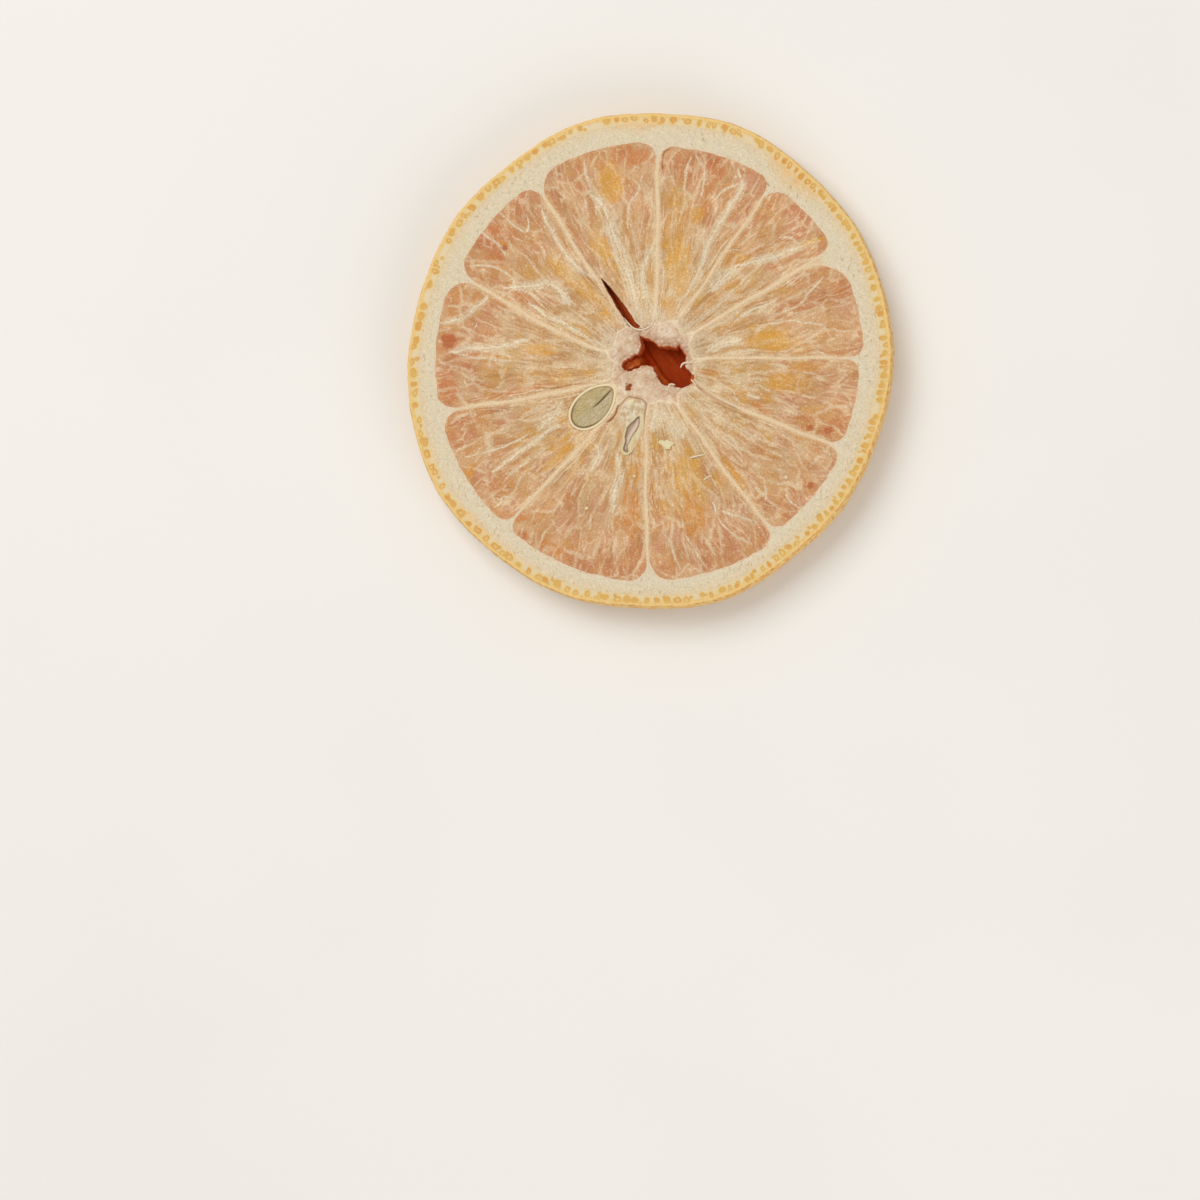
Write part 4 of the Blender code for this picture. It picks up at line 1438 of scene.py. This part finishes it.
def pulp_look():
    """Dried juice cells: salmon and tan under pale threads, with a frosty bloom of pale specks that is partly
    painted sparkle.
    """
    look = Look("pulp", (194, 147, 93), 0.6)
    look.noise("bundle", (1.3, 0.12, 1.0), 5.0, 0.62, "flow")
    look.noise("fibre", (3.0, 0.36, 1.0), 4.0, 0.62, "flow")
    look.noise("silk", (6.5, 1.0, 1.0), 3.0, 0.6, "flow")
    look.noise("mist", (0.75, 0.16, 1.0), 5.0, 0.65, "flow")
    look.noise("drift", 0.36, 4.0, 0.6, "flow")
    look.noise("grain", 3.4, 4.0, 0.72)
    look.noise("speck", 6.0, 3.0, 0.7)
    look.noise("cloud", 0.32, 5.0, 0.62)
    look.noise("spot", 0.85, 3.0, 0.6)
    look.noise("broad", 0.2, 2.0, 0.5)
    inward, outward = look.ease("reach", 0.95, 0.35), look.ease("reach", 0.25, 0.75)
    drawn_out = look.sum(0.35, ("reach", 0.95, 0.5, 0.65))
    cell = look.sum("tone", ("blotch", 0.5))
    frayed = look.sum(("fibre", 0.8), ("silk", 0.5), ("grain", 0.5))
    look.layers(
        # broad colour: tan and gold at the core, salmon near the pith
        ((188, 151, 99), ("reach", 0.55, 0.05, 0.6)),
        ((195, 135, 89), ("reach", 0.45, 1.0, 0.75)),
        ((204, 153, 74), ("cloud", 0.49, 0.59, 0.85), look.sum(0.35, inward)),
        ((202, 146, 109), ("cloud", 0.49, 0.39, 0.65), look.sum(0.35, outward)),
        ((190, 120, 74), ("drift", 0.52, 0.64, 0.4), outward),
        ((190, 122, 74), ("spot", 0.53, 0.68, 0.6), outward),
        ((207, 153, 112), ("spot", 0.46, 0.34, 0.4), outward),
        ((188, 120, 76), (cell, 0.78, 1.05, 0.55), look.sum(0.15, outward)),
        ((207, 165, 121), (cell, 0.66, 0.42, 0.60), look.sum(0.3, outward)),
        ((177, 124, 70), ("bundle", 0.48, 0.34, 0.65), drawn_out),
        ((208, 152, 58), "gold", ("grain", 0.28, 0.48)),
        ((192, 110, 54), "rust", ("grain", 0.28, 0.48, 0.9)),
        ((166, 116, 66), ("fibre", 0.47, 0.36, 0.35), drawn_out),
        # pale stuff: mist and veins along the flow, fibres, threads, cell walls and strands
        ((210, 187, 149), ("mist", 0.49, 0.60, 0.75), ("reach", 1.15, 0.0)),
        ((215, 187, 146), ("fibre", 0.53, 0.66, 0.35), drawn_out),
        ((217, 200, 168), (look.sum(("chalk", 0.42), frayed), 1.14, 1.38, 0.68)),
        ((224, 200, 160), look.vein((0.95, 0.13, 1.0), 0.035), ("cloud", 0.62, 0.42, 0.55)),
        ((226, 202, 164), look.vein((1.9, 0.34, 3.0), 0.05), ("drift", 0.42, 0.60, 0.40)),
        # pale halo round the cell walls: partly their pale tissue, partly a painted glow of light through it
        ((209, 171, 130), ("wall", 0.1, 0.9, 0.25)),
        ((223, 200, 164), (look.sum("thread", frayed), 1.38, 1.70, 0.50)),
        ((225, 202, 167), (look.sum("wall", frayed), 1.38, 1.70, 0.48)),
        ((230, 208, 174), (look.sum("rail", frayed), 1.30, 1.60, 0.7)),
        ((217, 200, 168), ("haze", 0.0, 0.8), (frayed, 0.64, 1.00, 0.85)),
        ((221, 193, 151), "shoulder", (frayed, 0.62, 0.98, 0.85)),
        ((232, 215, 186), (look.sum("strand", frayed), 1.12, 1.56, 0.74)),
        ((220, 200, 170), ("reach", 0.13, 0.0, 0.7), (frayed, 0.66, 1.0)),
        ((206, 160, 122), "edge", 0.35),
        # stains, bloom of pale specks with painted sparkle, cracks and the walls of the openings
        ((214, 158, 64), "gold", 0.42),
        ((194, 112, 62), "rust", 0.34),
        ((172, 90, 44), "dark", 0.75),
        # bloom: pale crystals with painted sparkle
        ((232, 208, 174), (look.sum("speck", ("grain", 0.6)), 0.90, 1.04, 0.45)),
        # cracks: brown tissue with painted shade, fuller where the crack is deeper
        ((156, 76, 12), "crack"),
        # painted shade: the walls of the openings go red-brown away from the faces
        ((200, 92, 22), "deep", 0.9),
    )
    look.shade("broad", 0.15, 0.06)
    look.shade("grain", 0.18, 0.12)
    look.shade("speck", 0.18, 0.16)
    look.bump(look.sum(("bundle", 0.4), ("fibre", 0.6)), 0.16)
    look.bump(look.sum(("grain", 0.6), ("speck", 0.4)), 0.08)
    look.put(look.sum(0.40, ("grain", 0.4)), look.shader.inputs["Roughness"])
    return look.done()


def pith_look():
    """Dry white pith: cream with fine dark pores, pinkish and frothy at the core."""
    look = Look("pith", (220, 206, 178), 0.8)
    look.noise("pore", 3.2, 4.0, 0.72)
    look.noise("grain", 6.0, 3.0, 0.7)
    look.noise("scratch", (4.4, 1.7, 3.0), 3.0, 0.6)
    look.noise("cloud", 0.45, 4.0, 0.6)
    look.layers(
        ((218, 204, 166), ("cloud", 0.5, 0.7, 0.5)),
        ((224, 206, 178), ("cloud", 0.5, 0.3, 0.4)),
        # the membranes, then the core
        ((220, 190, 148), ("ring", 0.9, 0.1), 0.9),
        ((224, 190, 130), "lane", ("tint", 0.52, 0.72, 0.8)),
        ((222, 186, 152), "lane", ("tint", 0.48, 0.28, 0.7)),
        ((206, 164, 118), "lane", ("inner", 0.9, 0.1, 0.45)),
        ((211, 170, 116), "faint", "lane"),
        ((216, 189, 162), "core", 0.75),
        ((196, 156, 122), "core", ("web", 0.47, 0.3, 0.75)),
        ((231, 214, 191), "core", ("web", 0.52, 0.70, 0.8)),
        # stains and pores of the ring
        ((228, 184, 120), "warm", 0.85),
        ((208, 188, 150), ("pore", 0.46, 0.34, 0.40)),
        ((233, 223, 200), ("pore", 0.54, 0.68, 0.35)),
        ((184, 160, 112), ("scratch", 0.42, 0.32, 0.8), "ring", ("cloud", 0.60, 0.44)),
        # froth with painted shade in its gaps and painted highlight on its beads, edges and openings
        ((196, 156, 128), "froth", 0.6),
        ((238, 222, 202), ("bead", 0.2, 0.9, 0.6)),
        ((226, 192, 158), "edge", "ring", 0.35),
        ((230, 206, 170), "tip_line", 0.75),
        ((238, 220, 190), "tip_line", "core", 0.6),
        # the slope into the hole: pinkish tint with painted shade that grows with depth
        ((226, 176, 138), "sunk", 0.8),
        # cracks: brown tissue with painted shade, fuller where the crack is deeper
        ((156, 76, 12), "crack"),
        # painted shade: the walls of the openings go red-brown away from the faces
        ((204, 90, 18), "deep", 0.95),
        # the pit: red-brown with painted shade in its hollow
        ((158, 76, 22), "pit"),
    )
    look.shade("pore", 0.18, 0.06)
    look.shade("grain", 0.18, 0.12)
    look.bump("pore", 0.08)
    look.bump("grain", 0.03)
    return look.done()


def painted_shade_foot_look():
    """The sheet at the foot of the hole, in painted shade: deep red-brown, lighter where it climbs the sides.
    """
    look = Look("foot", (158, 57, 11), 0.7, shine=0.1)
    look.noise("grain", 4.0, 4.0, 0.65)
    # all painted shade of the surface seen through the openings; lighter on one side of the fold, up the
    # climbs and on their bumps' tops as painted light, and in the slit's raised foot
    look.layers(
        ((200, 72, 26), ("fold", 0.6, 0.2, 0.8)),
        ((172, 66, 20), ("streak", 0.5, 0.75, 0.6)),
        ((146, 48, 14), ("streak", 0.5, 0.3, 0.5)),
        ((194, 94, 34), ("climb", 0.1, 0.7, 0.9)),
        ((212, 148, 98), ("climb", 0.5, 1.0), ("bumps", 0.5, 0.7, 0.8)),
        ((214, 104, 40), "raised"),
    )
    look.shade("grain", 0.18, 0.15)
    look.bump("grain", 0.05)
    return look.done()


def skin_look():
    """Yellow skin: golden oil glands in a pale band, and a dimpled outside."""
    look = Look("skin", (222, 207, 172), 0.5)
    look.noise("grain", 5.0, 4.0, 0.65)
    look.noise("cloud", 0.35, 3.0, 0.5)
    look.noise("fleck", 2.0, 4.0, 0.7)
    outer = look.sum("side", ("inset", 0.40, 0.10, 0.7))
    look.layers(
        # the band between the glands
        ((225, 190, 124), (look.sum("inset", ("grain", 0.3)), 0.72, 0.42)),
        ((225, 194, 120), "halo", 0.75),
        ((229, 188, 126), "warm", ("inset", 0.2, 0.9, 0.8)),
        ((228, 182, 104), ("inset", 0.30, 0.08), ("cloud", 0.3, 0.6)),
        # the outside
        ((232, 192, 112), "side"),
        ((228, 176, 88), "side", ("cloud", 0.45, 0.65, 0.7)),
        ((219, 160, 72), outer, ("fleck", 0.50, 0.60, 0.75)),
        ((238, 206, 138), outer, ("fleck", 0.48, 0.38, 0.7)),
        # glands and dimples
        ((216, 170, 82), "gland", 0.85),
        ((212, 152, 66), "gland", ("tone", 0.55, 0.95, 0.7)),
        ((219, 184, 92), "gland", ("tone", 0.45, 0.2, 0.6)),
        ((198, 142, 58), ("gland", 0.15, 0.5, 0.55), ("gland", 1.0, 0.6), ("inset", 0.15, 0.6)),
        ((208, 138, 56), "gland", "warm", 0.7),
        ((230, 204, 138), "heart", 0.7),
        ((204, 138, 58), "dent", 0.75),
        ((176, 100, 36), "dent", ("dent_tone", 0.5, 0.9, 0.7)),
        ((198, 148, 84), ("grain", 0.44, 0.28, 0.4)),
        ((240, 220, 170), ("grain", 0.56, 0.72, 0.35)),
        # the edge line: partly the skin's outer layer, partly painted highlight on the rounded edge
        ((238, 204, 136), "skin_line", ("side", 0.9, 0.1, 0.7)),
    )
    look.bump("grain", 0.06)
    return look.done()


def kernel_look():
    """The cut kernel: grey-olive, with a dark outline that is partly painted shade, and a slit."""
    look = Look("seed_kernel", (180, 160, 112), 0.6)
    look.noise("streak", (1.0, 4.0, 1.0), 4.0, 0.6, "flow")
    look.noise("grain", 5.5, 3.0, 0.7)
    look.layers(
        ((184, 168, 134), "half", 0.75),
        ((200, 184, 150), ("streak", 0.5, 0.68, 0.7)),
        ((152, 130, 80), ("streak", 0.48, 0.32, 0.65)),
        ((202, 186, 150), ("grain", 0.55, 0.70, 0.4)),
    )
    look.shade("grain", 0.18, 0.24)
    # the outline: dark joint to the coat with painted shade, heaviest on the side away from the core
    look.layers(
        ((146, 124, 78), ("rimward", 0.0, 0.5, 0.6)),
        ((110, 86, 56), ("rimward", 0.45, 0.95, 0.8)),
        ((104, 80, 20), "slit", 0.95),
        ((196, 146, 84), "notch", 0.7),
    )
    look.bump("grain", 0.03)
    return look.done()


def coat_look():
    """The seed's coat: pale cream, with a darker line where it leaves the kernel, partly painted shade that
    is heaviest on the side away from the core.
    """
    look = Look("seed_coat", (234, 217, 178), 0.6)
    look.noise("grain", 4.5, 4.0, 0.65)
    look.layers(
        ((240, 226, 192), ("grain", 0.5, 0.7, 0.5)),
        ((218, 194, 146), ("grain", 0.45, 0.3, 0.4)),
        ((226, 198, 160), "rimward", 0.5),
        # outline: dark joint with painted shade beside the kernel
        ((156, 130, 92), "outline", 0.6),
    )
    look.bump("grain", 0.05)
    return look.done()


def husk_look():
    """The empty husk: mottled cream, with pale yellow lips round a mauve cavity."""
    look = Look("seed_husk", (208, 191, 160), 0.65)
    look.noise("grain", 4.5, 4.0, 0.65)
    look.noise("mottle", (1.7, 1.3, 1.5), 4.0, 0.6)
    look.layers(
        ((230, 218, 194), ("mottle", 0.50, 0.58, 0.8)),
        ((192, 158, 114), ("mottle", 0.48, 0.40, 0.7)),
        ((190, 150, 104), "stain", ("grain", 0.3, 0.5, 0.6)),
        ((206, 164, 122), "rimward", 0.6),
        ((224, 212, 186), ("grain", 0.54, 0.70, 0.5)),
        ((182, 156, 114), ("grain", 0.46, 0.32, 0.45)),
        ((176, 124, 84), "arch", ("mottle", 0.36, 0.52, 0.9)),
        ((235, 210, 182), "brim", 0.7),
        ((212, 176, 130), "merge", 0.8),
        ((214, 201, 156), "lip", ("grain", 0.2, 0.5, 0.8)),
        ((232, 220, 168), "chip", 0.85),
        ((184, 156, 132), "cavity", 0.9),
        ((230, 206, 188), "floor", 0.9),
        ((104, 72, 56), "outline", 0.75),
    )
    look.bump("grain", 0.06)
    return look.done()


def plain_look(name, light, dark, roughness):
    """A small dry thing: two tones and a fine grain."""
    look = Look(name, light, roughness)
    look.noise("grain", 5.0, 3.0, 0.6)
    look.layers((dark, ("grain", 0.5, 0.3, 0.7)))
    look.bump("grain", 0.06)
    return look.done()


# ---------------------------------------------------------------- stage and camera

LENS = 80.0                      # millimetres, on a sensor 36 mm wide
SENSOR = 36.0
FRAME_WIDTH = 142.7              # millimetres that the frame spans at the slice
AZIMUTH = math.radians(50)
ELEVATION = math.radians(81)
# Where the fruit's axis shows, right of and above the frame's middle, as shares of its width.
AIM = (0.0417, 0.1992)


def add_camera():
    """Looks down on the slice, a little from the front right."""
    target = Vector((FRUIT_AXIS[0] * MM, FRUIT_AXIS[1] * MM, HIGH.z))
    back = Vector((math.sin(AZIMUTH) * math.cos(ELEVATION), -math.cos(AZIMUTH) * math.cos(ELEVATION),
                   math.sin(ELEVATION)))
    distance = FRAME_WIDTH * MM * LENS / SENSOR
    right = Vector((0, 1, 0)).cross(back).normalized()
    facing = Matrix((right, back.cross(right), back)).transposed()
    sight = Vector((AIM[0] * SENSOR / LENS, AIM[1] * SENSOR / LENS, -1)).normalized()
    turn = Vector((0, 0, -1)).rotation_difference(sight).to_matrix()
    camera = bpy.data.objects.new("camera", bpy.data.cameras.new("camera"))
    camera.data.lens = LENS
    camera.data.sensor_width = SENSOR
    camera.data.clip_start = 0.01
    camera.matrix_world = Matrix.Translation(target + distance * back) @ (facing @ turn.transposed()).to_4x4()
    bpy.context.scene.collection.objects.link(camera)
    bpy.context.scene.camera = camera


def add_light(name, place, size, watts, colour):
    """A square soft light that faces the slice."""
    light = bpy.data.lights.new(name, "AREA")
    light.size = size
    light.energy = watts
    light.color = colour
    lamp = bpy.data.objects.new(name, light)
    lamp.location = place
    lamp.rotation_euler = (-Vector(place)).to_track_quat("-Z", "Y").to_euler()
    bpy.context.scene.collection.objects.link(lamp)


def add_stage():
    """A plain pale floor under soft light from above and the upper left."""
    bpy.ops.mesh.primitive_plane_add(size=3.0, location=(0, 0, LOW.z - 0.01 * MM))
    floor = bpy.context.object
    floor.name = "floor"
    look = Look("floor", (238, 236, 232), 0.8)
    look.noise("cloud", 0.02, 2.0, 0.5)
    look.layers(((234, 232, 228), ("cloud", 0.4, 0.6, 0.3)))
    floor.data.materials.append(look.done())
    world = bpy.data.worlds.new("studio")
    world.use_nodes = True
    sky = world.node_tree.nodes["Background"]
    sky.inputs["Color"].default_value = (1.0, 0.98, 0.95, 1)
    sky.inputs["Strength"].default_value = 0.50
    bpy.context.scene.world = world
    add_light("key", (-0.26, 0.30, 0.60), 0.45, 2.9, (1.0, 0.98, 0.95))
    add_light("fill", (0.30, -0.38, 0.25), 0.4, 0.95, (1.0, 0.98, 0.96))
    bpy.context.scene.view_settings.view_transform = "Standard"


# ---------------------------------------------------------------- the slice

def hand_over(piece):
    """Joins a piece to the frame's one body in place of the plain slice."""
    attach(piece, "root")
    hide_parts(NODE)


def main():
    add_camera()
    add_stage()
    pulp = pulp_look()
    for number in range(COUNT):
        hand_over(make_pulp(number, pulp))
    hand_over(make_pith(pith_look()))
    hand_over(make_foot(painted_shade_foot_look()))
    hand_over(make_skin(skin_look()))
    hand_over(make_kernel(kernel_look()))
    hand_over(make_coat(coat_look()))
    hand_over(make_husk(husk_look()))
    hand_over(make_fibres(plain_look("fibre", (230, 212, 184), (212, 182, 142), 0.6)))
    hand_over(make_crumbs(plain_look("crumb", (226, 212, 172), (206, 184, 128), 0.7)))


main()
